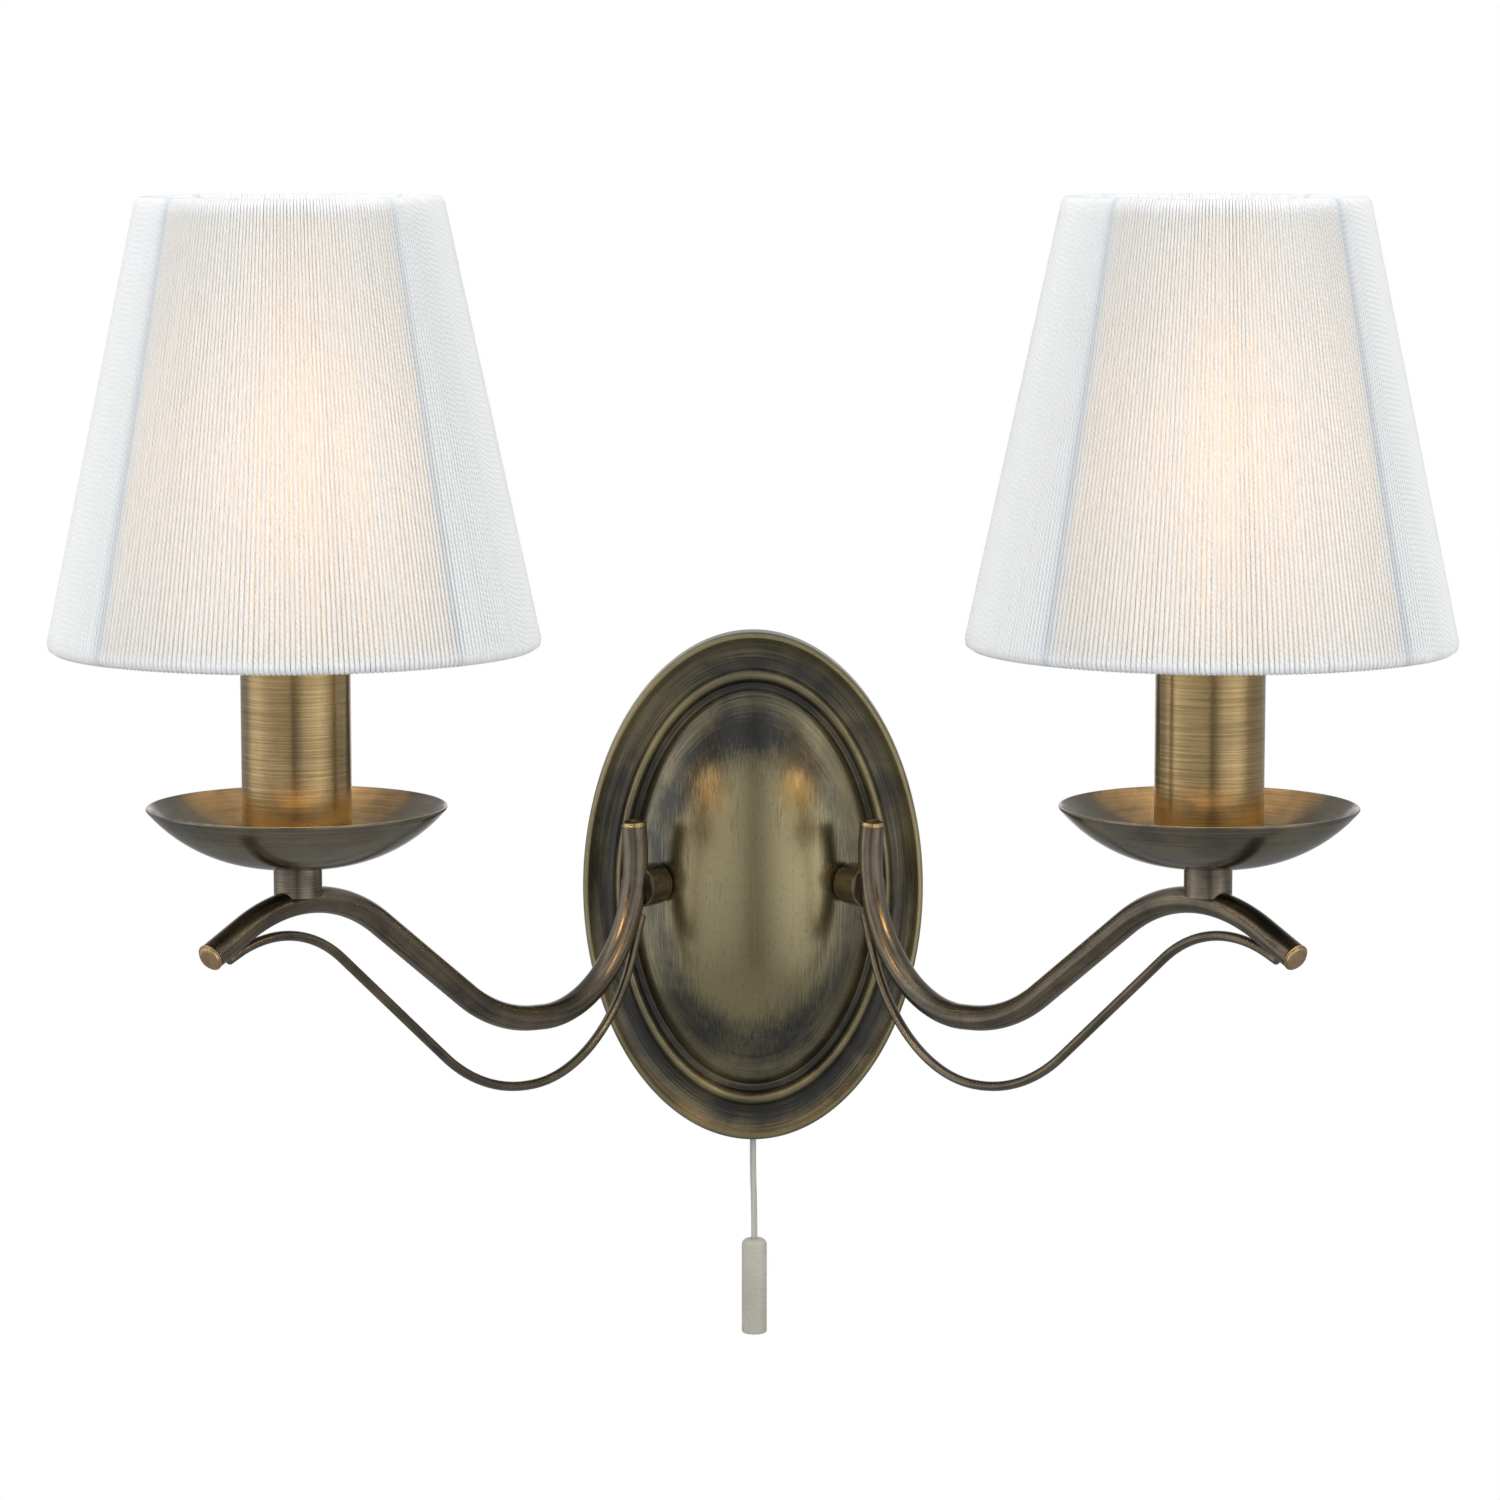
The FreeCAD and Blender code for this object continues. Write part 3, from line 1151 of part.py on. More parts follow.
def shade_frame(side):
    """Wire frame: two rings, struts, and a spider whose barrel turns on the clip's pin."""
    up = Vector(0, 0, 1)
    bottom, top = ring_centres()
    frame = Part.makeTorus(bottom[0], RING_WIRE / 2.0, stem_axis(side, bottom[1]), up)
    frame = frame.fuse(Part.makeTorus(top[0], RING_WIRE / 2.0, stem_axis(side, top[1]), up))
    for angle in strut_angles():
        low = radial(side, angle, bottom[0], bottom[1])
        high = radial(side, angle, top[0], top[1])
        frame = frame.fuse(straight_bar(low, high, STRUT_WIRE))
        frame = frame.fuse(spider_arm(side, angle, SPIDER_WIRE))
    disc_foot = stem_axis(side, spider_disc_foot())
    frame = frame.fuse(cylinder(disc_foot, up, SPIDER_DISC_DIAMETER, SPIDER_DISC_THICKNESS))
    start = stem_axis(side, pivot_height()) - Vector(0, BARREL_LENGTH / 2.0, 0)
    along = Vector(0, 1, 0)
    frame = frame.fuse(cylinder(start, along, BARREL_DIAMETER, BARREL_LENGTH))
    bore = PIN_DIAMETER + 2.0 * RUNNING_GAP
    return frame.cut(cylinder(start - along, along, bore, BARREL_LENGTH + 2.0))


def shade_strings(side):
    """Wound string cover: an outer and an inner layer joined round both rings."""
    inner_offset = RING_WIRE / 2.0 + STRING_GAP
    outer = Part.Face(wall_loop(side, inner_offset + STRING_THICKNESS))
    inner = Part.Face(wall_loop(side, inner_offset))
    axis_point = stem_axis(side)
    cover = outer.revolve(axis_point, Vector(0, 0, 1), 360.0)
    cover = cover.cut(inner.revolve(axis_point, Vector(0, 0, 1), 360.0))
    for angle in strut_angles():
        cover = cover.cut(spider_arm(side, angle, SPIDER_WIRE + 2.0 * STRING_GAP))
    return cover


def clip_loop(side, facing):
    """One wire loop of the clip, down one leg, round the glass and up the other."""
    plate_foot = clip_plate_foot()
    grip_height = glass_widest() + CLIP_GRIP_RISE
    contact = glass_radius(grip_height) + GRIP_GAP + CLIP_WIRE / 2.0
    corner_radius = contact / math.cos(math.radians(CLIP_LEG_ANGLE / 2.0))
    knee_height = plate_foot - CLIP_KNEE_DROP
    knee = glass_radius(knee_height) + GRIP_GAP + CLIP_KNEE_CLEARANCE
    start_angle = facing + CLIP_LEG_ANGLE
    end_angle = facing - CLIP_LEG_ANGLE
    legs = []
    for angle in (start_angle, end_angle):
        leg = [radial(side, angle, CLIP_LEG_TOP_RADIUS, plate_foot + CLIP_PLATE_THICKNESS / 2.0)]
        leg.append(radial(side, angle, knee, knee_height))
        leg.append(radial(side, angle, corner_radius, grip_height))
        legs.append(leg)
    points = legs[0] + [radial(side, facing, corner_radius, grip_height)] + legs[1][::-1]
    radii = [CLIP_KNEE_RADIUS, CLIP_CORNER_RADIUS, contact, CLIP_CORNER_RADIUS, CLIP_KNEE_RADIUS]
    return rod_along(points, radii, CLIP_WIRE)


def shade_clip(side):
    """Spring clip: a plate with two pivot ears and two wire loops round the glass."""
    foot = clip_plate_foot()
    centre = stem_axis(side, foot + CLIP_PLATE_THICKNESS / 2.0)
    clip = centred_box(CLIP_PLATE_LENGTH, CLIP_PLATE_WIDTH, CLIP_PLATE_THICKNESS, centre)
    for hand in (-1, 1):
        offset = hand * (BARREL_LENGTH / 2.0 + BARREL_END_GAP + EAR_THICKNESS / 2.0)
        height = pivot_height() - (PIVOT_RISE + CLIP_PLATE_THICKNESS / 2.0) / 2.0
        middle = stem_axis(side, height) + Vector(0, offset, 0)
        rise = PIVOT_RISE + CLIP_PLATE_THICKNESS / 2.0
        ear = centred_box(EAR_EYE_DIAMETER, EAR_THICKNESS, rise, middle)
        eye = stem_axis(side, pivot_height()) + Vector(0, offset - EAR_THICKNESS / 2.0, 0)
        ear = ear.fuse(cylinder(eye, Vector(0, 1, 0), EAR_EYE_DIAMETER, EAR_THICKNESS))
        clip = clip.fuse(ear)
    for facing in (0.0, 180.0):
        clip = clip.fuse(clip_loop(side, facing))
    start = stem_axis(side, pivot_height()) - Vector(0, BARREL_LENGTH, 0)
    bore = PIN_DIAMETER + 2.0 * SEAT_GAP
    return clip.cut(cylinder(start, Vector(0, 1, 0), bore, 2.0 * BARREL_LENGTH))


def pivot_pin(side):
    """Headed pin through the clip's ears and the frame's barrel."""
    half = BARREL_LENGTH / 2.0 + BARREL_END_GAP + EAR_THICKNESS + SEAT_GAP
    along = Vector(0, 1, 0)
    middle = stem_axis(side, pivot_height())
    pin = cylinder(middle - along * half, along, PIN_DIAMETER, 2.0 * half)
    pin = pin.fuse(cylinder(middle + along * half, along, PIN_HEAD_DIAMETER, PIN_HEAD_THICKNESS))
    foot = middle - along * (half + PIN_HEAD_THICKNESS)
    return pin.fuse(cylinder(foot, along, PIN_HEAD_DIAMETER, PIN_HEAD_THICKNESS))


# -------------------------------------------------------------------- wiring
def arm_wire_route(side):
    """Lamp wire inside the arm: boss, down the arm, over the crest, up the stem."""
    centre = bend_centre(ARM_FALL, ARM_RISE, ARM_NECK, ARM_RISE_RADIUS)
    root = (arm_plane_offset(), BOSS_HEIGHT)
    radius = (root[0] - centre[0], root[1] - centre[1])
    along_tube = (radius[1], -radius[0])
    fall_heading = (ARM_RISE[0] - ARM_FALL[0], ARM_RISE[1] - ARM_FALL[1])
    turn_in = meeting_point(root, along_tube, ARM_FALL, fall_heading)
    crest_height = stem_tube_height()
    climb = (ARM_FALL[0] - ARM_CREST[0], ARM_FALL[1] - ARM_CREST[1])
    turn_out = meeting_point((0.0, crest_height), (1.0, 0.0), ARM_CREST, climb)
    top = (0.0, socket_base() - SEAT_GAP)
    route = [root, turn_in, ARM_FALL, turn_out, (0.0, crest_height), top]
    return [arm_point(side, place) for place in route]


def fitted_radius(points, index, used_before, used_after):
    """Largest bend at an inner point once its neighbours have taken their share."""
    corner = points[index]
    back = points[index - 1] - corner
    ahead = points[index + 1] - corner
    room = min(back.Length - used_before, ahead.Length - used_after) - 0.2
    half_turn = (math.pi - back.getAngle(ahead)) / 2.0
    return room / math.tan(half_turn)


def lamp_wire(side):
    """Lamp wire from the terminal block through the nipple, arm and stem."""
    inward = outward(side) * -1.0
    arm = arm_wire_route(side)
    nipple_end = boss_washer_start() + WASHER_THICKNESS + NUT_THICKNESS + NIPPLE_TAIL
    leave = arm[0] + inward * (nipple_end + WIRE_EXIT_RUN)
    pole = pole_places()[0 if side < 0 else -1]
    above_leave = Vector(leave.x, leave.y, WIRE_LOOP_HEIGHT)
    above_pole = Vector(pole.x, pole.y, WIRE_LOOP_HEIGHT)
    pole_mouth = Vector(pole.x, pole.y, BLOCK_HEIGHT / 2.0 - POLE_INSET + SEAT_GAP)
    points = [pole_mouth, above_pole, above_leave, leave] + arm
    boss_turn = (points[3] - arm[0]).getAngle(arm[1] - arm[0])
    boss_reach = WIRE_ARM_BEND / math.tan(boss_turn / 2.0)
    radii = [WIRE_LOOP_BEND, WIRE_LOOP_BEND, WIRE_LOOP_BEND, WIRE_ARM_BEND]
    turn_in_radius = fitted_radius(points, 5, boss_reach, 0.0)
    radii.append(min(ARM_RISE_RADIUS, turn_in_radius))
    radii.append(ARM_FALL_RADIUS)
    radii.append(min(ARM_CREST_RADIUS, fitted_radius(points, 7, 0.0, WIRE_STEM_BEND)))
    radii.append(WIRE_STEM_BEND)
    return rod_along(points, radii, LAMP_WIRE_DIAMETER)


def switch_wire():
    """Short wire from the middle pole down to the switch."""
    place = pole_places()[POLE_COUNT // 2]
    top = -(BLOCK_HEIGHT / 2.0 - POLE_INSET + SEAT_GAP)
    foot = -(SWITCH_TOP_DROP - SEAT_GAP)
    start = Vector(place.x, place.y, foot)
    return cylinder(start, Vector(0, 0, 1), SWITCH_WIRE_DIAMETER, top - foot)


# ------------------------------------------------------------------ assembly
def build_wall_side(plate_outside):
    """Everything on the wall: bracket, plate, block and switch."""
    keep("wall_bracket", wall_bracket())
    keep("earth_screw", earth_screw())
    keep("backplate", backplate(plate_outside))
    keep("cover_screws", cover_screws())
    keep("boss_washers", Part.makeCompound([boss_washer(side) for side in (-1, 1)]))
    keep("boss_nuts", Part.makeCompound([boss_nut(side) for side in (-1, 1)]))
    keep("terminal_block", terminal_block())
    keep("terminal_inserts", terminal_inserts())
    keep("terminal_screws", terminal_screws())
    keep("switch_housing", switch_housing())
    keep("switch_screws", switch_screws())
    keep("switch_slider", switch_slider())
    keep("switch_spring", switch_spring())
    keep("switch_wire", switch_wire())
    keep("switch_cord", switch_cord())
    keep("cord_bush", cord_bush())
    keep("pull_cord", pull_cord())
    keep("pull_handle", pull_handle())
    keep("cord_knot", cord_knot())


def build_arm(hand, side, plate_outside):
    """One arm with its dish, lampholder, lamp and shade."""
    tube_body = arm_solid(side, ARM_TUBE_DIAMETER)
    keep(hand + "_arm_tube", arm_tube(side, tube_body))
    keep(hand + "_end_caps", end_caps(side))
    keep(hand + "_scroll_rod", scroll_rod(side, tube_body))
    keep(hand + "_arm_boss", arm_boss(side, tube_body, plate_outside))
    keep(hand + "_boss_nipple", boss_nipple(side))
    keep(hand + "_stem_collar", stem_collar(side, tube_body))
    keep(hand + "_drip_dish", drip_dish(side))
    keep(hand + "_stem_nipple", stem_nipple(side))
    keep(hand + "_candle_sleeve", candle_sleeve(side))
    keep(hand + "_lampholder_body", lampholder_body(side))
    keep(hand + "_lampholder_socket", lampholder_socket(side))
    keep(hand + "_lampholder_contact", lampholder_contact(side))
    keep(hand + "_lampholder_liner", lampholder_liner(side))
    keep(hand + "_lamp_cap", lamp_cap(side))
    keep(hand + "_lamp_glass", lamp_glass(side))
    keep(hand + "_lamp_wire", lamp_wire(side))
    keep(hand + "_shade_clip", shade_clip(side))
    keep(hand + "_pivot_pin", pivot_pin(side))
    keep(hand + "_shade_frame", shade_frame(side))
    keep(hand + "_shade_strings", shade_strings(side))


def main():
    """Builds every piece and writes one file for each."""
    os.makedirs("parts", exist_ok=True)
    plate_outside = plate_body(0.0)
    build_wall_side(plate_outside)
    for hand, side in (("left", -1), ("right", 1)):
        build_arm(hand, side, plate_outside)
    for name, shape in PARTS.items():
        shape.exportStep("parts/%s.step" % name)
        volume = sum(solid.Volume for solid in shape.Solids)
        print("%-26s solids %d  valid %s  volume %.1f" % (name, len(shape.Solids), shape.isValid(), volume))


main()
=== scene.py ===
"""Looks of a double arm wall sconce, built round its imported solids.

Sizes in the classes are millimetres in the part's own frame: the origin is the
centre of the backplate on the wall plane, +Z is up, +X is to the right and the
light stands out from the wall along -Y. Meshes are scaled to metres when they
are finished. The studio at the end holds the camera, the lamps and the floor.
"""

import json
import logging
import math
import random
from dataclasses import dataclass, field
from enum import Enum
from typing import Dict, Iterable, List, Optional, Protocol, Sequence, Tuple, Union

import bmesh
import bpy
from mathutils import Matrix, Vector
from mathutils.kdtree import KDTree

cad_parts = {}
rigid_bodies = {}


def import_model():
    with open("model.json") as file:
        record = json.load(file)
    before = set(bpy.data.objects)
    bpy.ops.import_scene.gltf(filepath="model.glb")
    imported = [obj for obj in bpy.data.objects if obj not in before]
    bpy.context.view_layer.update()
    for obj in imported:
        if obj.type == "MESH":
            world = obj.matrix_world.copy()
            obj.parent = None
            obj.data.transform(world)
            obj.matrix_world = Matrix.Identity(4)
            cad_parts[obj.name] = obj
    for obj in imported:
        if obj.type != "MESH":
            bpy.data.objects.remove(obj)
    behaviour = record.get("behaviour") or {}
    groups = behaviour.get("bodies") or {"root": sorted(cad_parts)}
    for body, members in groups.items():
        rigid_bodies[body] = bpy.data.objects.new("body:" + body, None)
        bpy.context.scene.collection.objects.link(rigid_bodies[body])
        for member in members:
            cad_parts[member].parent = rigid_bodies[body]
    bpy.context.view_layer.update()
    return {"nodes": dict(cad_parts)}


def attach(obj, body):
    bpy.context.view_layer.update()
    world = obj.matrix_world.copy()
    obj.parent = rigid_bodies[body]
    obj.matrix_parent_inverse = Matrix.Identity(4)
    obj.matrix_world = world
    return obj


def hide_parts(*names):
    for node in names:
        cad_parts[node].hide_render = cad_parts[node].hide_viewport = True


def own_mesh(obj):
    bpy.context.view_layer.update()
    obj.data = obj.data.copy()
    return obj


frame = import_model()

LOG = logging.getLogger("sconce")
MM = 0.001
WELD = 0.002
SHORTEST_RUN = 0.01
SHARP_EDGE = 32.0
FULL_TURN = 2.0 * math.pi
QUARTER_TURN = math.pi / 2.0
BESIDE = Vector((0.0, 1.0, 0.0))
UP = Vector((0.0, 0.0, 1.0))
ORIGIN = Vector((0.0, 0.0, 0.0))
WHITE = (1.0, 1.0, 1.0)

Pair = Tuple[float, float]
Place = Tuple[float, float, float]
Colour = Tuple[float, float, float]
Mesh = bmesh.types.BMesh


class Side(Enum):
    """The two mirrored arms."""

    LEFT = -1
    RIGHT = 1

    def named(self, name: str) -> str:
        """Full name of one of this side's nodes, bodies or pieces."""
        return f"{self.name.lower()}_{name}"


class Brush(Enum):
    """How a brushed finish runs over a piece."""

    UPRIGHT = "upright"
    LEVEL = "level"
    ALONG = "along"
    RINGS = "rings"
    OVAL = "oval"


# --------------------------------------------------------------------- places
def facing(place: Vector, heading: Vector) -> Matrix:
    """Frame at a place, with its Z axis along a heading."""
    return Matrix.Translation(place) @ heading.to_track_quat("Z", "Y").to_matrix().to_4x4()


@dataclass(frozen=True)
class Layout:
    """Places that several sub-assemblies share."""

    stem_x: float = 123.597
    stem_y: float = -147.890
    arm_angle: float = 53.8
    root_reach: float = 149.488
    boss_height: float = 3.0
    tube_radius: float = 3.7

    def outward(self, side: Side) -> Vector:
        """Level heading from the backplate out along one arm."""
        turn = math.radians(self.arm_angle)
        return Vector((side.value * math.cos(turn), -math.sin(turn), 0.0))

    def stem(self, side: Side, height: float = 0.0) -> Vector:
        """Point on the upright axis of one stem."""
        return Vector((side.value * self.stem_x, self.stem_y, height))

    def arm_plane(self, side: Side) -> Matrix:
        """Frame of an arm's upright plane: X runs inward from the stem, Z is up."""
        inward = -self.outward(side)
        turn = Matrix((inward, UP.cross(inward), UP)).transposed().to_4x4()
        return Matrix.Translation(self.stem(side)) @ turn


LAYOUT = Layout()


# --------------------------------------------------------------------- routes
@dataclass(frozen=True)
class Run:
    """Straight stretch of a plane route."""

    shift: Vector

    def reach(self, place: Vector) -> float:
        """Length of the stretch that starts at a place."""
        return self.shift.length

    def step_on(self, place: Vector, heading: Vector, count: int) -> Tuple[Vector, Vector]:
        """Place and heading after one of count equal steps."""
        return place + self.shift / count, heading


@dataclass(frozen=True)
class Bend:
    """Arc of a plane route."""

    centre: Vector
    axis: Vector
    turn: float

    def reach(self, place: Vector) -> float:
        """Length of the arc that starts at a place."""
        return self.turn * (place - self.centre).length

    def step_on(self, place: Vector, heading: Vector, count: int) -> Tuple[Vector, Vector]:
        """Place and heading after one of count equal steps."""
        turn = Matrix.Rotation(self.turn / count, 3, self.axis)
        return self.centre + turn @ (place - self.centre), turn @ heading


@dataclass(frozen=True)
class PlaneRoute:
    """Straight runs joined by tangent arcs, as (inward, height) corner points."""

    corners: Tuple[Pair, ...]
    radii: Tuple[float, ...]

    def points(self) -> List[Vector]:
        """Corner points in the plane's own frame."""
        return [Vector((inward, 0.0, height)) for inward, height in self.corners]

    def strokes(self) -> List[Union[Run, Bend]]:
        """Runs and bends in order, from the first corner to the last."""
        points = self.points()
        strokes: List[Union[Run, Bend]] = []
        start = points[0]
        for before, corner, after, radius in zip(points, points[1:], points[2:], self.radii):
            back = (before - corner).normalized()
            ahead = (after - corner).normalized()
            half = back.angle(ahead) / 2.0
            arc_start = corner + back * (radius / math.tan(half))
            centre = corner + (back + ahead).normalized() * (radius / math.sin(half))
            strokes.append(Run(arc_start - start))
            strokes.append(Bend(centre, (-back).cross(ahead).normalized(), math.pi - 2.0 * half))
            start = corner + ahead * (radius / math.tan(half))
        strokes.append(Run(points[-1] - start))
        return strokes

    def stations(self, step: float = 1.0) -> List[Tuple[Vector, Vector, float]]:
        """Points along the route, each with its heading and how far along it lies."""
        place = self.points()[0]
        heading = -self.headings()[0]
        travel = 0.0
        found = [(place, heading, travel)]
        for stroke in self.strokes():
            reach = stroke.reach(place)
            count = max(1, round(reach / step))
            for _ in range(count):
                place, heading = stroke.step_on(place, heading, count)
                travel += reach / count
                found.append((place, heading, travel))
        return found

    def headings(self) -> Tuple[Vector, Vector]:
        """Unit headings out of the first and the last point."""
        points = self.points()
        return (points[0] - points[1]).normalized(), (points[-1] - points[-2]).normalized()


# ---------------------------------------------------------------- mesh making
class Ring:
    """An open ring of corners that leaves a tube behind as it is carried on."""

    def __init__(self, mesh: Mesh, radius: float, sides: int, place: Matrix) -> None:
        """Starts the ring.

        Args:
            mesh: The mesh that gets the tube, empty so far.
            radius: The tube's radius.
            sides: How many faces go round it.
            place: Where the ring lies, with its axis along Z.
        """
        self.mesh = mesh
        made = bmesh.ops.create_circle(mesh, cap_ends=False, segments=sides, radius=radius, matrix=place)
        self.corners: List[bmesh.types.BMVert] = made["verts"]
        self.edges: List[bmesh.types.BMEdge] = list(mesh.edges)

    def cap(self) -> None:
        """Closes the tube where the ring is."""
        bmesh.ops.edgeloop_fill(self.mesh, edges=self.edges)

    def go_on(self, grown: Iterable[object]) -> None:
        """Takes the far end of what an operator has grown as the ring."""
        self.corners = [item for item in grown if isinstance(item, bmesh.types.BMVert)]
        found = set(self.corners)
        self.edges = [item for item in grown if isinstance(item, bmesh.types.BMEdge)
                      and found.issuperset(item.verts)]

    def run(self, shift: Vector) -> None:
        """Carries the ring straight on."""
        self.go_on(bmesh.ops.extrude_edge_only(self.mesh, edges=self.edges)["geom"])
        bmesh.ops.translate(self.mesh, vec=shift, verts=self.corners)

    def bend(self, centre: Vector, axis: Vector, turn: float, steps: int, climb: float = 0.0) -> None:
        """Carries the ring round an axis.

        Args:
            centre: A point of the axis.
            axis: The axis's heading.
            turn: How far round, in radians.
            steps: How many steps it takes.
            climb: How far each step rises as well.
        """
        grown = bmesh.ops.spin(
            self.mesh, geom=self.corners + self.edges, cent=centre, axis=axis, dvec=(0.0, 0.0, climb),
            angle=turn, steps=steps, use_merge=False,
        )
        self.go_on(grown["geom_last"])


def rod(route: PlaneRoute, radius: float, sides: int, step: float) -> Mesh:
    """Carries a ring along a plane route and marks how each corner lies on the rod.

    The mark "lay" is a vector in metres: across the rod, beside it and along it.

    Args:
        route: The route in the plane's own frame.
        radius: The rod's radius.
        sides: How many faces go round the rod.
        step: The turn between two rings of a bend, in degrees.

    Returns:
        The closed rod, in the plane's own frame.
    """
    mesh = bmesh.new()
    ring = Ring(mesh, radius, sides, facing(route.points()[0], -route.headings()[0]))
    ring.cap()
    for stroke in route.strokes():
        if isinstance(stroke, Bend):
            steps = max(2, round(math.degrees(stroke.turn) / step))
            ring.bend(stroke.centre, stroke.axis, stroke.turn, steps)
        elif stroke.shift.length >= SHORTEST_RUN:
            ring.run(stroke.shift)
    ring.cap()
    layer = mesh.verts.layers.float_vector.new("lay")
    stations = route.stations()
    places = KDTree(len(stations))
    for index, (place, _, _) in enumerate(stations):
        places.insert(place, index)
    places.balance()
    for corner in mesh.verts:
        place, heading, travel = stations[places.find(corner.co)[1]]
        offset = corner.co - place
        corner[layer] = Vector((offset.dot(heading.cross(BESIDE)), offset.dot(BESIDE), travel)) * MM
    return mesh


def turned(outline: Sequence[Pair], steps: int, closed: bool = True) -> Mesh:
    """Turns an outline of (radius, height) pairs once about the Z axis.

    Args:
        outline: Points of the outline in order.
        steps: How many faces go round.
        closed: True for an outline that returns to its first point.

    Returns:
        The turned form.
    """
    mesh = bmesh.new()
    corners = [mesh.verts.new((radius, 0.0, height)) for radius, height in outline]
    ends = corners[1:] + (corners[:1] if closed else [])
    edges = [mesh.edges.new(pair) for pair in zip(corners, ends)]
    bmesh.ops.spin(mesh, geom=corners + edges, cent=ORIGIN, axis=UP, dvec=ORIGIN,
                   angle=FULL_TURN, steps=steps, use_merge=True)
    return mesh


def arc_points(centre: Pair, radius: float, first: float, last: float, steps: int) -> List[Pair]:
    """Points of an arc in the outline's plane, angles in degrees from +radius."""
    points = []
    for step in range(steps + 1):
        turn = math.radians(first + (last - first) * step / steps)
        points.append((centre[0] + radius * math.cos(turn), centre[1] + radius * math.sin(turn)))
    return points


def place_mesh(mesh: Mesh, place: Matrix) -> None:
    """Moves a whole mesh."""
    bmesh.ops.transform(mesh, matrix=place, verts=mesh.verts)


def close_up(mesh: Mesh) -> None:
    """Merges doubled corners and points every face outward."""
    bmesh.ops.remove_doubles(mesh, verts=mesh.verts, dist=WELD)
    bmesh.ops.recalc_face_normals(mesh, faces=mesh.faces)


def add_part(mesh: Mesh, part: Mesh, place: Matrix = Matrix.Identity(4)) -> None:
    """Moves and closes a part, adds it to a mesh and uses the part up."""
    place_mesh(part, place)
    close_up(part)
    data = bpy.data.meshes.new("part")
    part.to_mesh(data)
    part.free()
    mesh.from_mesh(data)
    bpy.data.meshes.remove(data)


def show(name: str, data: bpy.types.ID) -> bpy.types.Object:
    """Puts an object of some data in the scene."""
    shown = bpy.data.objects.new(name, data)
    bpy.context.scene.collection.objects.link(shown)
    return shown


def show_mesh(mesh: Mesh, name: str, scale: float = MM) -> bpy.types.Object:
    """Scales a mesh, puts it in the scene and uses it up."""
    bmesh.ops.scale(mesh, vec=(scale, scale, scale), verts=mesh.verts)
    data = bpy.data.meshes.new(name)
    mesh.to_mesh(data)
    mesh.free()
    return show(name, data)


# ------------------------------------------------------------------- finishes
@dataclass(frozen=True)
class Field:
    """A node's output, which adds and multiplies as a number does."""

    graph: "Graph"
    socket: bpy.types.NodeSocket

    def __add__(self, other: "Value") -> "Field":
        """Sum with a field or a number."""
        return self.graph.math("ADD", self, other)

    def __sub__(self, other: "Value") -> "Field":
        """Difference to a field or a number."""
        return self.graph.math("SUBTRACT", self, other)

    def __mul__(self, other: "Value") -> "Field":
        """Product with a field or a number."""
        return self.graph.math("MULTIPLY", self, other)

    def __truediv__(self, other: "Value") -> "Field":
        """Quotient by a field or a number."""
        return self.graph.math("DIVIDE", self, other)


Value = Union[Field, float, Colour, None]
Stops = Sequence[Tuple[float, Colour]]


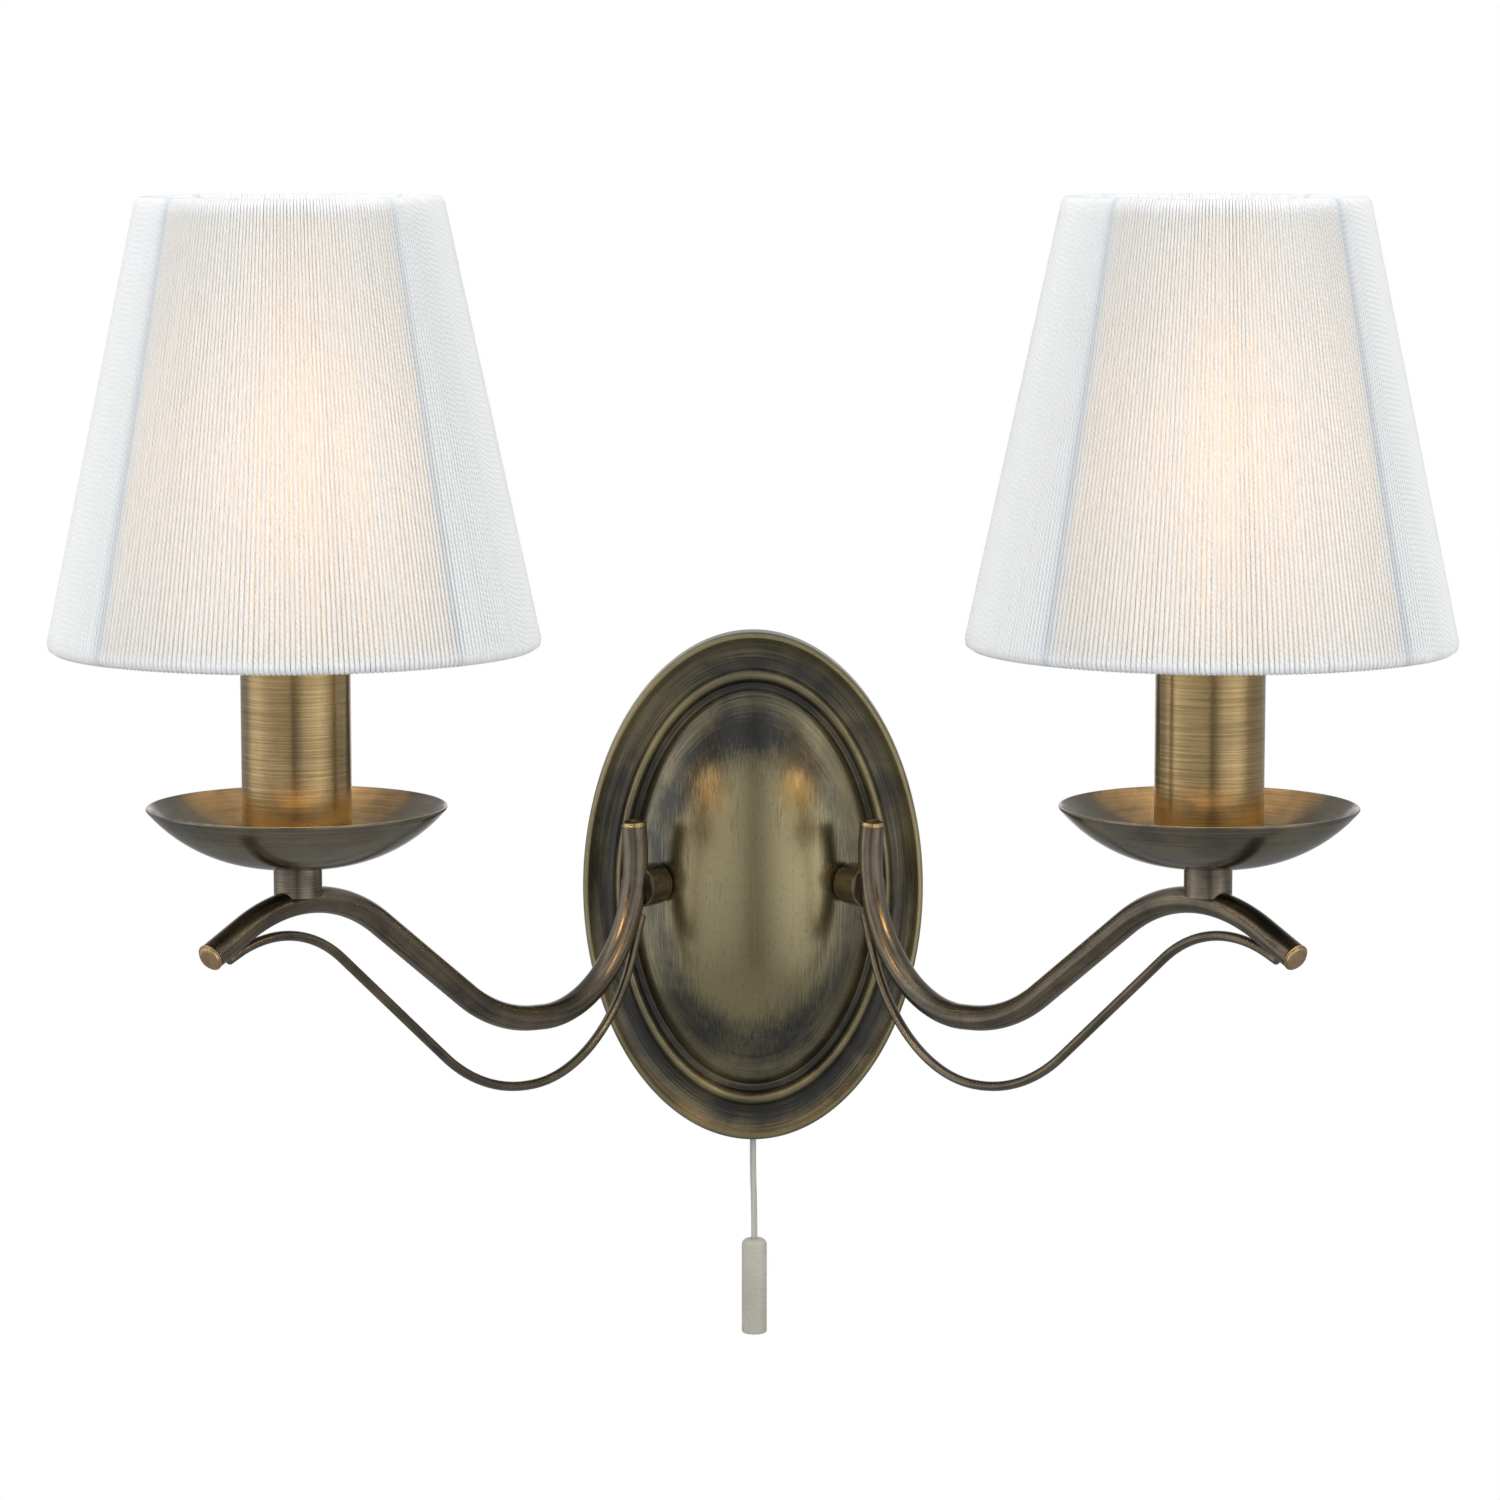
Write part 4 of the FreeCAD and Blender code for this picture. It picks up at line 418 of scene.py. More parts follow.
class Graph:
    """Builder of one material's or world's nodes, over Object coordinates in metres."""

    def __init__(self, owner: Union[bpy.types.Material, bpy.types.World]) -> None:
        """Clears the owner's nodes.

        Args:
            owner: The new material or world.
        """
        self.owner = owner
        owner.use_nodes = True
        self.tree = owner.node_tree
        self.tree.nodes.clear()
        self.output = self.node("OutputWorld" if isinstance(owner, bpy.types.World) else "OutputMaterial")
        coordinates = self.node("TexCoord")
        self.objects = self.out(coordinates, "Object")
        self.directions = self.out(coordinates, "Generated")

    def node(self, kind: str, *values: Value, **named: Value) -> bpy.types.Node:
        """Adds a node.

        Args:
            kind: The shader node's kind.
            values: Its first inputs, in order.
            named: Further inputs by name, where _ stands for a space.

        Returns:
            The node.
        """
        node = self.tree.nodes.new("ShaderNode" + kind)
        for socket, value in zip(node.inputs, values):
            self.feed(socket, value)
        for name, value in named.items():
            self.feed(node.inputs[name.replace("_", " ")], value)
        return node

    def feed(self, socket: bpy.types.NodeSocket, value: Value) -> None:
        """Links a socket to a field, or sets its constant."""
        if isinstance(value, Field):
            self.tree.links.new(value.socket, socket)
        elif isinstance(value, tuple) and socket.type == "RGBA":
            socket.default_value = (*value, 1.0)
        elif value is not None:
            socket.default_value = value

    def out(self, node: bpy.types.Node, output: Union[int, str] = 0) -> Field:
        """One output of a node."""
        return Field(self, node.outputs[output])

    def math(self, operation: str, first: Value, second: Value = None) -> Field:
        """Result of one arithmetic step."""
        node = self.node("Math", first, second)
        node.operation = operation
        return self.out(node)

    def stretched(self, vector: Field, scale: Place, shift: Place = (0.0, 0.0, 0.0)) -> Field:
        """Coordinates that are scaled, then moved."""
        return self.out(self.node("Mapping", Vector=vector, Location=shift, Scale=scale))

    def parts_of(self, vector: Field) -> Tuple[Field, ...]:
        """X, Y and Z of a vector."""
        node = self.node("SeparateXYZ", vector)
        return tuple(self.out(node, index) for index in range(3))

    def vector_of(self, x: Value, y: Value, z: Value) -> Field:
        """Vector of three numbers."""
        return self.out(self.node("CombineXYZ", x, y, z))

    def mark(self, name: str, output: str = "Fac") -> Field:
        """Number or vector that the piece itself carries under a name."""
        node = self.node("Attribute")
        node.attribute_name = name
        return self.out(node, output)

    def ray(self, kind: str) -> Field:
        """1 for rays of one kind, 0 for the others."""
        return self.out(self.node("LightPath"), kind)

    def seen_straight(self) -> Field:
        """1 for rays that show what lies behind the object, past it or through glass."""
        return self.math("MAXIMUM", self.ray("Is Camera Ray"), self.ray("Is Transmission Ray"))

    def noise(self, vector: Field, scale: float = 1.0, detail: float = 2.0, roughness: float = 0.5,
              distortion: float = 0.0) -> Field:
        """Smooth noise from 0 to 1."""
        return self.out(self.node("TexNoise", Vector=vector, Scale=scale, Detail=detail,
                                  Roughness=roughness, Distortion=distortion))

    def span(self, value: Value, low: float, high: float, start: float, end: float) -> Field:
        """A value carried from one range to another, held at both ends."""
        return self.out(self.node("MapRange", value, low, high, start, end))

    def wave(self, value: Field) -> Field:
        """Sine of a value, from 0 to 1."""
        return self.span(self.math("SINE", value), -1.0, 1.0, 0.0, 1.0)

    def ramp(self, value: Field, stops: Stops) -> Field:
        """Colour between stops."""
        node = self.node("ValToRGB", value)
        band = node.color_ramp
        while len(band.elements) < len(stops):
            band.elements.new(0.5)
        for element, (place, colour) in zip(band.elements, stops):
            element.position = place
            element.color = (*colour, 1.0)
        return self.out(node)

    def greys(self, value: Field, stops: Sequence[Pair]) -> Field:
        """Grey between stops."""
        return self.ramp(value, [(place, (grey, grey, grey)) for place, grey in stops])

    def blend(self, factor: Value, first: Value, second: Value, mode: str = "MIX") -> Field:
        """Colour mixed from two."""
        node = self.node("Mix")
        node.data_type = "RGBA"
        node.blend_type = mode
        for index, value in ((0, factor), (6, first), (7, second)):
            self.feed(node.inputs[index], value)
        return self.out(node, 2)

    def bump(self, height: Field, depth: float, strength: float) -> Field:
        """Normal of a height field, its depth in metres."""
        return self.out(self.node("Bump", Strength=strength, Distance=depth, Height=height))

    def shader(self, **values: Value) -> Field:
        """Principled shader, with values by socket name where _ stands for a space."""
        return self.out(self.node("BsdfPrincipled", **values))

    def mix(self, factor: Field, first: Field, second: Field) -> Field:
        """Shader mixed from two."""
        return self.out(self.node("MixShader", factor, first, second))

    def finish(self, shader: Field) -> bpy.types.ID:
        """Shows a shader and returns the material or world."""
        self.feed(self.output.inputs["Surface"], shader)
        return self.owner


class Finish(Protocol):
    """What every finish has: a name, and a way to build itself."""

    name: str

    def surface(self, graph: Graph) -> Field:
        """Builds the finish's shader in a graph."""


@dataclass(frozen=True)
class AgedBrass:
    """Brushed brass, darkened with age and lacquered, with painted shade and painted highlight where bands
    are given.
    """

    name: str
    pale: Colour
    deep: Colour
    brush: Brush
    centre: Place = (0.0, 0.0, 0.0)
    polish: float = 0.20
    satin: float = 0.33
    streak: float = 3200.0
    patch: float = 26.0
    groove: float = 0.00003
    lines: float = 0.38
    drawn: float = 0.0
    # Grey levels over the plate's radius, added to the wear: painted shade and painted highlight ring by
    # ring.
    bands: Tuple[Pair, ...] = ()
    band_reach: float = 0.051
    oval_squash: float = 0.64
    dome_edge: Pair = (0.035, 0.038)
    dome_blend: Pair = (0.024, 0.036)
    upright_run: float = 28.0
    level_run: float = 32.0
    along_run: float = 45.0
    ring_run: float = 1.2
    oval_run: float = 1.6
    dome_run: float = 26.0
    dome_coarse: float = 0.2

    def straight(self, graph: Graph) -> Field:
        """Brushing that runs up, level or along a rod."""
        fine = self.streak
        if self.brush is Brush.UPRIGHT:
            return graph.stretched(graph.objects, (fine, fine, self.upright_run))
        if self.brush is Brush.LEVEL:
            return graph.stretched(graph.objects, (self.level_run, self.level_run, fine))
        return graph.stretched(graph.mark("lay", "Vector"), (fine, fine, self.along_run))

    def rings(self, graph: Graph) -> Field:
        """Brushing round an upright axis."""
        shift = tuple(-number for number in self.centre)
        x, y, z = graph.parts_of(graph.stretched(graph.objects, (1.0, 1.0, 1.0), shift))
        across = graph.math("SQRT", x * x + y * y)
        round_way = graph.math("ARCTAN2", y, x) * self.ring_run
        return graph.vector_of(across * self.streak, round_way, z * self.streak)

    def ovals(self, graph: Graph) -> Field:
        """Brushing round the plate's ovals, in its own coordinates."""
        x, _, z = graph.parts_of(graph.objects)
        round_way = graph.math("ARCTAN2", z * self.oval_squash, x)
        return graph.vector_of(graph.mark("band") * self.streak, round_way * self.oval_run, 0.0)

    def streaks(self, graph: Graph) -> Field:
        """Fine lines of the brushing, from 0 to 1: round the plate's ovals, and upright on its dome."""
        if self.brush is Brush.RINGS:
            return graph.noise(self.rings(graph), detail=3.0)
        if self.brush is not Brush.OVAL:
            return graph.noise(self.straight(graph), detail=3.0)
        oval = graph.noise(self.ovals(graph), detail=3.0)
        dome = graph.stretched(graph.objects, (self.streak, self.streak * self.dome_coarse, self.dome_run))
        on_dome = graph.span(graph.mark("band"), *self.dome_blend, 1.0, 0.0)
        return graph.blend(on_dome, oval, graph.noise(dome, detail=3.0))

    def wear_and_band_shade(self, graph: Graph, lines: Field) -> Field:
        """How far the dark skin is rubbed away, from 0 to 1, with any bands' painted shade and painted
        highlight added.
        """
        clouds = graph.noise(graph.objects, scale=self.patch, detail=5.0, roughness=0.6, distortion=0.4)
        wear_and_band_shade = clouds * (1.0 - self.lines) + lines * self.lines
        # The bands lighten and darken the colour ring by ring: painted shade and painted highlight, not
        # wear.
        if self.bands:
            wear_and_band_shade = wear_and_band_shade + (graph.greys(graph.mark("band") / self.band_reach, self.bands) - 0.5)
        return wear_and_band_shade

    def surface(self, graph: Graph) -> Field:
        """Builds the shader.

        Args:
            graph: The material's graph.

        Returns:
            The shader.
        """
        lines = self.streaks(graph)
        wear_and_band_shade = self.wear_and_band_shade(graph, lines)
        colour = graph.ramp(wear_and_band_shade, [(0.34, self.deep), (0.62, self.pale)])
        specks = graph.noise(graph.objects, scale=900.0)
        colour = graph.blend(graph.span(specks, 0.3, 0.42, 0.22, 0.0), colour, self.deep)
        rough = graph.span(lines * 0.6 + wear_and_band_shade * 0.4, 0.3, 0.7, self.satin, self.polish)
        if self.bands:
            rough = rough + graph.span(graph.mark("band"), *self.dome_edge, 0.0, 0.22)
        drawing: Dict[str, Value] = {}
        if self.drawn:
            round_way = graph.node("Tangent")
            round_way.direction_type = "RADIAL"
            round_way.axis = "Z"
            drawing = {"Tangent": graph.out(round_way), "Anisotropic": self.drawn,
                       "Anisotropic_Rotation": 0.25}
        return graph.shader(Base_Color=colour, Metallic=1.0, Roughness=rough, Coat_Weight=0.35,
                            Coat_Roughness=0.16, Normal=graph.bump(lines, self.groove, 0.8), **drawing)


@dataclass(frozen=True)
class PlainMetal:
    """Turned, drawn or plated metal with faint tool lines and tarnish."""

    name: str
    colour: Colour
    tarnish: Colour
    polish: float = 0.2
    satin: float = 0.34
    lines: Place = (2600.0, 780.0, 312.0)

    def surface(self, graph: Graph) -> Field:
        """Builds the shader and returns it."""
        marks = graph.noise(graph.stretched(graph.objects, self.lines), detail=3.0)
        clouds = graph.noise(graph.objects, scale=140.0, detail=5.0, roughness=0.62)
        return graph.shader(
            Base_Color=graph.ramp(clouds, [(0.34, self.tarnish), (0.62, self.colour)]), Metallic=1.0,
            Roughness=graph.span(marks, 0.3, 0.7, self.polish, self.satin),
            Normal=graph.bump(marks, 0.00002, 0.4))


@dataclass(frozen=True)
class Moulded:
    """Moulded plastic or sleeving with a fine grain and slight mottling."""

    name: str
    colour: Colour
    shade: Colour
    rough: float = 0.38
    grain: float = 1800.0

    def surface(self, graph: Graph) -> Field:
        """Builds the shader and returns it."""
        clouds = graph.noise(graph.objects, scale=75.0, detail=4.0)
        grain = graph.noise(graph.objects, scale=self.grain)
        return graph.shader(
            Base_Color=graph.ramp(clouds, [(0.3, self.shade), (0.65, self.colour)]),
            Roughness=graph.span(grain, 0.3, 0.7, self.rough - 0.06, self.rough + 0.08),
            Normal=graph.bump(grain, 0.00003, 0.35))


@dataclass(frozen=True)
class BraidedCord:
    """Thin braided cord, its diagonals wound about an upright axis."""

    name: str
    colour: Colour
    shade: Colour
    axis: Pair = (0.0, -0.0046)
    pitch: float = 0.0011

    def surface(self, graph: Graph) -> Field:
        """Builds the shader and returns it."""
        x, y, z = graph.parts_of(graph.objects)
        round_way = graph.math("ARCTAN2", y - self.axis[1], x - self.axis[0])
        along = z * (FULL_TURN / self.pitch)
        left_hand, right_hand = (graph.math("SINE", along + round_way * hand) for hand in (-2.0, 2.0))
        weave = graph.span(left_hand * right_hand, -1.0, 1.0, 0.0, 1.0)
        tone = weave * 0.7 + graph.noise(graph.objects, scale=2400.0, detail=3.0) * 0.3
        # The weave's grooves are painted towards the darker colour, a painted shade between the strands
        # beside the bump. A fine noise varies it at random.
        colour = graph.ramp(tone, [(0.1, self.shade), (0.7, self.colour)])
        return graph.shader(Base_Color=colour, Roughness=0.8, Sheen_Weight=0.25,
                            Normal=graph.bump(tone, 0.00012, 0.7))


@dataclass(frozen=True)
class WoundString:
    """Twisted white string that lets the lamp's light through."""

    name: str = "shade_string_white"
    colour: Colour = (0.88, 0.89, 0.90)
    # Blue-grey that the string is painted towards in its grooves, a painted shade, and where its tone is
    # low.
    shade: Colour = (0.75, 0.78, 0.82)
    warm: Colour = (0.98, 0.94, 0.87)
    # Blue-grey painted on the string beside the struts: painted shadow of the struts.
    strut_shadow_colour: Colour = (0.60, 0.66, 0.73)
    ply: float = 1.5
    through_close: float = 0.18
    through_open: float = 0.56

    def surface(self, graph: Graph) -> Field:
        """Builds the shader and returns it."""
        strand = graph.node("UVMap")
        strand.uv_map = "strand"
        round_way, along, _ = graph.parts_of(graph.out(strand))
        tone = graph.mark("tone")
        twist = graph.wave((round_way * 2.0 + along / self.ply + tone * 9.0) * FULL_TURN)
        fuzz = graph.noise(graph.objects, scale=1500.0, detail=3.0)
        # The twist's grooves are painted towards the blue-grey shade colour, a painted shade between the
        # plies. The tone (uneven at random and lowered beside the struts) and the fuzz vary it too.
        mixed = twist * 0.35 + tone * 0.4 + fuzz * 0.25
        colour = graph.ramp(mixed, [(0.15, self.shade), (0.6, self.colour)])
        # Painted strut shadow: where the tone is lowered beside a strut, the string turns blue-grey.
        colour = graph.blend(graph.span(tone, -0.35, 0.15, 0.7, 0.0), colour, self.strut_shadow_colour)
        normal = graph.bump(twist * 0.8 + fuzz * 0.3, 0.00018, 0.6)
        face = graph.shader(Base_Color=colour, Roughness=0.85, Sheen_Weight=0.2, Normal=normal)
        back = graph.out(graph.node("BsdfTranslucent", Color=self.warm, Normal=normal))
        share = graph.span(graph.mark("open"), 0.0, 1.0, self.through_close, self.through_open)
        return graph.mix(share, face, back)


@dataclass(frozen=True)
class LitOpal:
    """Opal lamp glass, lit warm white, fading towards its neck and tip.

    It lights the shade at its full power, and is seen at a level that leaves its form and colour.
    """

    name: str = "lamp_opal_lit"
    colour: Colour = (0.50, 0.47, 0.41)
    glow: Colour = (1.0, 0.66, 0.34)
    power: float = 15.8
    seen_belly: Colour = (0.62, 0.50, 0.33)
    seen_ends: Colour = (0.60, 0.36, 0.13)
    middle: float = 0.141
    reach: float = 0.05

    def surface(self, graph: Graph) -> Field:
        """Builds the shader and returns it."""
        height = graph.parts_of(graph.objects)[2]
        fade = graph.span(graph.math("ABSOLUTE", height - self.middle), 0.0, self.reach, 1.0, 0.35)
        level = fade * graph.span(graph.noise(graph.objects, scale=60.0), 0.2, 0.8, 0.94, 1.0)
        light = graph.ramp(level, [(0.0, (0.0, 0.0, 0.0)), (1.0, self.glow)])
        seen = graph.ramp(level, [(0.35, self.seen_ends), (0.9, self.seen_belly)])
        direct = graph.ray("Is Camera Ray")
        return graph.shader(Base_Color=self.colour, Roughness=0.12, Coat_Weight=0.5,
                            Emission_Color=graph.blend(direct, light, seen),
                            Emission_Strength=graph.span(direct, 0.0, 1.0, self.power, 1.0))


@dataclass
class Finishes:
    """Every finish on the light, each built once."""

    made: Dict[str, bpy.types.Material] = field(default_factory=dict)

    def get(self, recipe: Finish) -> bpy.types.Material:
        """Material of a finish, built when first asked for."""
        if recipe.name not in self.made:
            graph = Graph(bpy.data.materials.new(recipe.name))
            self.made[recipe.name] = graph.finish(recipe.surface(graph))
        return self.made[recipe.name]


FINISHES = Finishes()
BRONZE: Colour = (0.260, 0.210, 0.140)
BRONZE_DEEP: Colour = (0.075, 0.070, 0.064)
# Painted shade and painted highlight of the plate, ring by ring from the dome's centre (0) to the lip (1):
# grey levels that lighten and darken its colour where its reflections of the studio fall lighter and darker.
PLATE_PAINTED_SHADING: Tuple[Pair, ...] = (
    (0.00, 0.66), (0.36, 0.65), (0.45, 0.57), (0.53, 0.42), (0.60, 0.40), (0.66, 0.48), (0.71, 0.46),
    (0.73, 0.35), (0.755, 0.38), (0.775, 0.54), (0.80, 0.52), (0.82, 0.37), (0.86, 0.34), (0.92, 0.42),
    (0.955, 0.47), (0.975, 0.64), (1.00, 0.48),
)
PLATE_BRASS = AgedBrass("plate_aged_brass", (0.395, 0.342, 0.190), (0.066, 0.066, 0.062), Brush.OVAL,
                        groove=0.000018, bands=PLATE_PAINTED_SHADING)
ARM_BRASS = AgedBrass("arm_aged_brass", BRONZE, BRONZE_DEEP, Brush.ALONG, polish=0.21, satin=0.31,
                      streak=1400.0, patch=60.0, groove=0.000002, lines=0.4)
BOSS_BRASS = AgedBrass("boss_aged_brass", BRONZE, BRONZE_DEEP, Brush.UPRIGHT, polish=0.16, satin=0.26,
                       streak=900.0, patch=120.0, groove=0.00001, lines=0.25)
COLLAR_BRASS = AgedBrass("collar_aged_brass", BRONZE, BRONZE_DEEP, Brush.LEVEL, streak=2600.0, patch=80.0)
SLEEVE_BRASS = AgedBrass("sleeve_aged_brass", (0.520, 0.385, 0.185), (0.260, 0.180, 0.080), Brush.LEVEL,
                         polish=0.17, satin=0.27, streak=2300.0, patch=40.0, groove=0.00004, lines=0.6,
                         drawn=0.9)
CAP_BRASS = PlainMetal("cap_polished_brass", (0.72, 0.52, 0.30), (0.42, 0.30, 0.17), 0.14, 0.26)
BRIGHT_BRASS = PlainMetal("bright_turned_brass", (0.80, 0.62, 0.32), (0.60, 0.44, 0.22))
ZINC = PlainMetal("zinc_plated_steel", (0.60, 0.61, 0.62), (0.42, 0.43, 0.44), 0.26, 0.42)
SPRING_WIRE = PlainMetal("plated_spring_wire", (0.70, 0.66, 0.56), (0.48, 0.44, 0.36))
CAP_METAL = PlainMetal("lamp_cap_metal", (0.72, 0.72, 0.72), (0.5, 0.5, 0.5))
ENAMEL = Moulded("frame_white_enamel", (0.80, 0.80, 0.78), (0.70, 0.70, 0.68), 0.3)
WHITE_PLASTIC = Moulded("white_moulding", (0.78, 0.78, 0.75), (0.68, 0.68, 0.65), 0.36)
BLACK_PLASTIC = Moulded("black_moulding", (0.030, 0.030, 0.030), (0.018, 0.018, 0.018), 0.42)
HANDLE_PLASTIC = Moulded("handle_moulding", (0.415, 0.408, 0.350), (0.36, 0.352, 0.302), 0.28)
SLEEVING = Moulded("wire_sleeving", (0.22, 0.10, 0.045), (0.15, 0.07, 0.03), 0.4)
CORD = BraidedCord("pull_cord_braid", (0.47, 0.475, 0.445), (0.30, 0.305, 0.285))
STRING = WoundString()
OPAL = LitOpal()


# --------------------------------------------------------------------- pieces
def make_piece(mesh: Mesh, name: str, finish: Finish, nodes: Sequence[str], body: str = "sconce",
               crease: float = SHARP_EDGE) -> bpy.types.Object:
    """Makes a finished object of a mesh in millimetres and lets it ride on its body.

    Args:
        mesh: The mesh, which is used up.
        name: The piece's name.
        finish: Its finish.
        nodes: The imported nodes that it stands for.
        body: The body that it moves with.
        crease: The angle from which an edge is sharp, in degrees.

    Returns:
        The new object.
    """
    piece = show_mesh(mesh, name)
    piece.data.shade_smooth()
    piece.data.set_sharp_from_angle(angle=math.radians(crease))
    piece.data.materials.append(FINISHES.get(finish))
    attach(piece, body)
    if nodes:
        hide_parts(*nodes)
    LOG.info("%s: %d faces", name, len(piece.data.polygons))
    return piece


def dress(finish: Finish, *nodes: str) -> None:
    """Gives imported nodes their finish."""
    for node in nodes:
        piece = frame["nodes"][node]
        piece.data.materials.clear()
        piece.data.materials.append(FINISHES.get(finish))
        LOG.info("%s: dressed in %s", node, finish.name)


@dataclass
class SideAssembly:
    """Sub-assembly that is built at the origin and stands at one side's stem."""

    side: Side

    def make(self, mesh: Mesh, name: str, finish: Finish, node: str, slot: str = "antique_brass",
             place: Optional[Matrix] = None) -> None:
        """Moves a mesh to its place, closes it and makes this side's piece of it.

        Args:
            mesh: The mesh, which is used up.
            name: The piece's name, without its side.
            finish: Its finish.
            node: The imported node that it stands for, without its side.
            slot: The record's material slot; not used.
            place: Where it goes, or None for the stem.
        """
        if place is None:
            place = Matrix.Translation(LAYOUT.stem(self.side))
        place_mesh(mesh, place)
        close_up(mesh)
        make_piece(mesh, self.side.named(name), finish, [self.side.named(node)])

    def dress(self, finish: Finish, *nodes: str) -> None:
        """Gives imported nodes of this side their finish."""
        dress(finish, *(self.side.named(node) for node in nodes))


# ------------------------------------------------------------------ backplate
@dataclass
class Backplate:
    """Pressed oval plate: rolled lip, cove, raised bead, groove and dome."""

    half_width: float = 51.0
    half_height: float = 77.0
    sheet: float = 1.0
    lip_depth: float = 10.0
    lip_round: float = 1.5
    cove_depth: float = 7.4
    bead_foot: float = 9.0
    bead_depth: float = 11.4
    bead_width: float = 3.6
    groove_width: float = 1.6
    groove_depth: float = 8.6
    dome_half_width: float = 36.5
    dome_half_height: float = 60.0
    dome_depth: float = 26.0
    lip_middle: float = 0.45
    lip_chamfer: Pair = (0.5, 0.6)
    floor_gap: float = 0.05
    floor_run: float = 0.4
    steps: int = 224
    screw_hole: float = 1.6
    screw_place: Pair = (50.0, -4.4)
    bush_hole: float = 2.45
    bush_place: Pair = (-4.6, -76.5)
    cutter_length: float = 6.0

    def __post_init__(self) -> None:
        """Works out the band between the lip and the dome, and the dome's ball."""
        self.lip = self.half_width - self.lip_round
        self.band = self.lip - self.dome_half_width
        self.groove_start = 1.0 - self.groove_width / self.band
        self.bead_start = self.groove_start - self.bead_width / self.band
        rise = self.dome_depth - self.groove_depth
        self.ball = (self.dome_half_width ** 2 + rise ** 2) / (2.0 * rise)

    def cove(self, share: float) -> Pair:
        """Point of the cove, from the lip at 0 to the bead at 1."""
        edge = self.lip_depth + (self.bead_foot - self.lip_depth) * share
        sink = (self.lip_depth + self.bead_foot) / 2.0 - self.cove_depth
        return self.lip - self.band * self.bead_start * share, edge - sink * 4.0 * share * (1.0 - share)

    def bead(self, share: float) -> Pair:
        """Point of the bead, from the cove at 0 to the groove at 1."""
        foot = self.bead_foot + (self.groove_depth - self.bead_foot) * share
        rise = (self.bead_depth - self.bead_foot) * math.sin(math.pi * share) ** 0.8
        inset = self.bead_start + (self.groove_start - self.bead_start) * share
        return self.lip - self.band * inset, foot + rise

    def dome(self, inset: float, count: int) -> List[Pair]:
        """Dome from its edge to the centre, inset by the sheet on the inside."""
        points = []
        for step in range(count + 1):
            across = self.dome_half_width * math.cos(QUARTER_TURN * step / count) if step < count else 0.0
            depth = math.sqrt((self.ball - inset) ** 2 - across ** 2) - self.ball + self.dome_depth
            points.append((across, depth))
        return points

    def front(self) -> List[Pair]:
        """Outside of the sheet as (radius across, depth), from the wall to the centre."""
        points = [(self.half_width, 0.0), (self.half_width, self.lip_depth * self.lip_middle)]
        points += arc_points((self.lip, self.lip_depth - self.lip_round), self.lip_round, 0.0, 90.0, 7)
        points += [self.cove(step / 17.0) for step in range(1, 17)]
        points += [self.bead(step / 14.0) for step in range(15)]
        return points + self.dome(0.0, 34)

    def back(self) -> List[Pair]:
        """Inside of the sheet, from the centre to the wall."""
        dome = self.dome(self.sheet, 24)[::-1]
        floor = self.groove_depth - self.sheet
        points = [point for point in dome if point[1] > floor + self.floor_gap]
        points.append((dome[-1][0] + self.floor_run, floor))
        for step in range(11, 0, -1):
            across, depth = self.cove(step / 11.0)
            points.append((across, depth - self.sheet))
        inner = self.half_width - self.sheet
        roof = self.lip_depth - self.sheet
        inset, drop = self.lip_chamfer
        return points + [(inner - inset, roof), (inner, roof - drop), (inner, 0.0)]

    def stretch(self, across: float) -> float:
        """How much taller than wide the oval through a given half width is."""
        if across >= self.lip:
            return (across + self.half_height - self.half_width) / across
        if across <= self.dome_half_width:
            return self.dome_half_height / self.dome_half_width
        share = (self.lip - across) / self.band
        lip_height = self.half_height - self.lip_round
        return (lip_height + (self.dome_half_height - lip_height) * share) / across

    def cutters(self) -> bpy.types.Object:
        """Cutters of the side screws' holes and the cord bush's hole, as one object."""
        across, depth = self.screw_place
        level = Matrix.Rotation(QUARTER_TURN, 4, "Y")
        holes = [(self.screw_hole, Matrix.Translation((side.value * across, depth, 0.0)) @ level)
                 for side in Side]
        holes.append((self.bush_hole, Matrix.Translation((0.0, *self.bush_place))))
        mesh = bmesh.new()
        for radius, place in holes:
            bmesh.ops.create_cone(mesh, cap_ends=True, segments=32, radius1=radius, radius2=radius,
                                  depth=self.cutter_length, matrix=place)
        return show_mesh(mesh, "plate_cutters")

    def carve(self, piece: bpy.types.Object) -> None:
        """Cuts the holes in the finished plate."""
        cutters = self.cutters()
        cut = piece.modifiers.new("holes", "BOOLEAN")
        cut.operation = "DIFFERENCE"
        cut.solver = "EXACT"
        cut.object = cutters
        shown = piece.evaluated_get(bpy.context.evaluated_depsgraph_get())
        carved = bpy.data.meshes.new_from_object(shown)
        piece.modifiers.clear()
        piece.data = carved
        carved.set_sharp_from_angle(angle=math.radians(SHARP_EDGE))
        bpy.data.objects.remove(cutters)

    def build(self) -> None:
        """Builds the plate, cuts its holes and marks how far out over its bands each corner lies."""
        mesh = turned(self.front() + self.back(), self.steps)
        close_up(mesh)
        place_mesh(mesh, Matrix.Rotation(QUARTER_TURN, 4, "X"))
        marks = []
        places = KDTree(len(mesh.verts))
        for index, corner in enumerate(mesh.verts):
            across = math.hypot(corner.co.x, corner.co.z)
            if across > SHORTEST_RUN:
                corner.co.z *= self.stretch(across)
            marks.append(across * MM)
            places.insert(corner.co * MM, index)
        places.balance()
        bmesh.ops.recalc_face_normals(mesh, faces=mesh.faces)
        piece = make_piece(mesh, "oval_backplate", PLATE_BRASS, ["backplate"])
        self.carve(piece)
        layer = piece.data.attributes.new("band", "FLOAT", "POINT")
        for corner in piece.data.vertices:
            layer.data[corner.index].value = marks[places.find(corner.co)[1]]


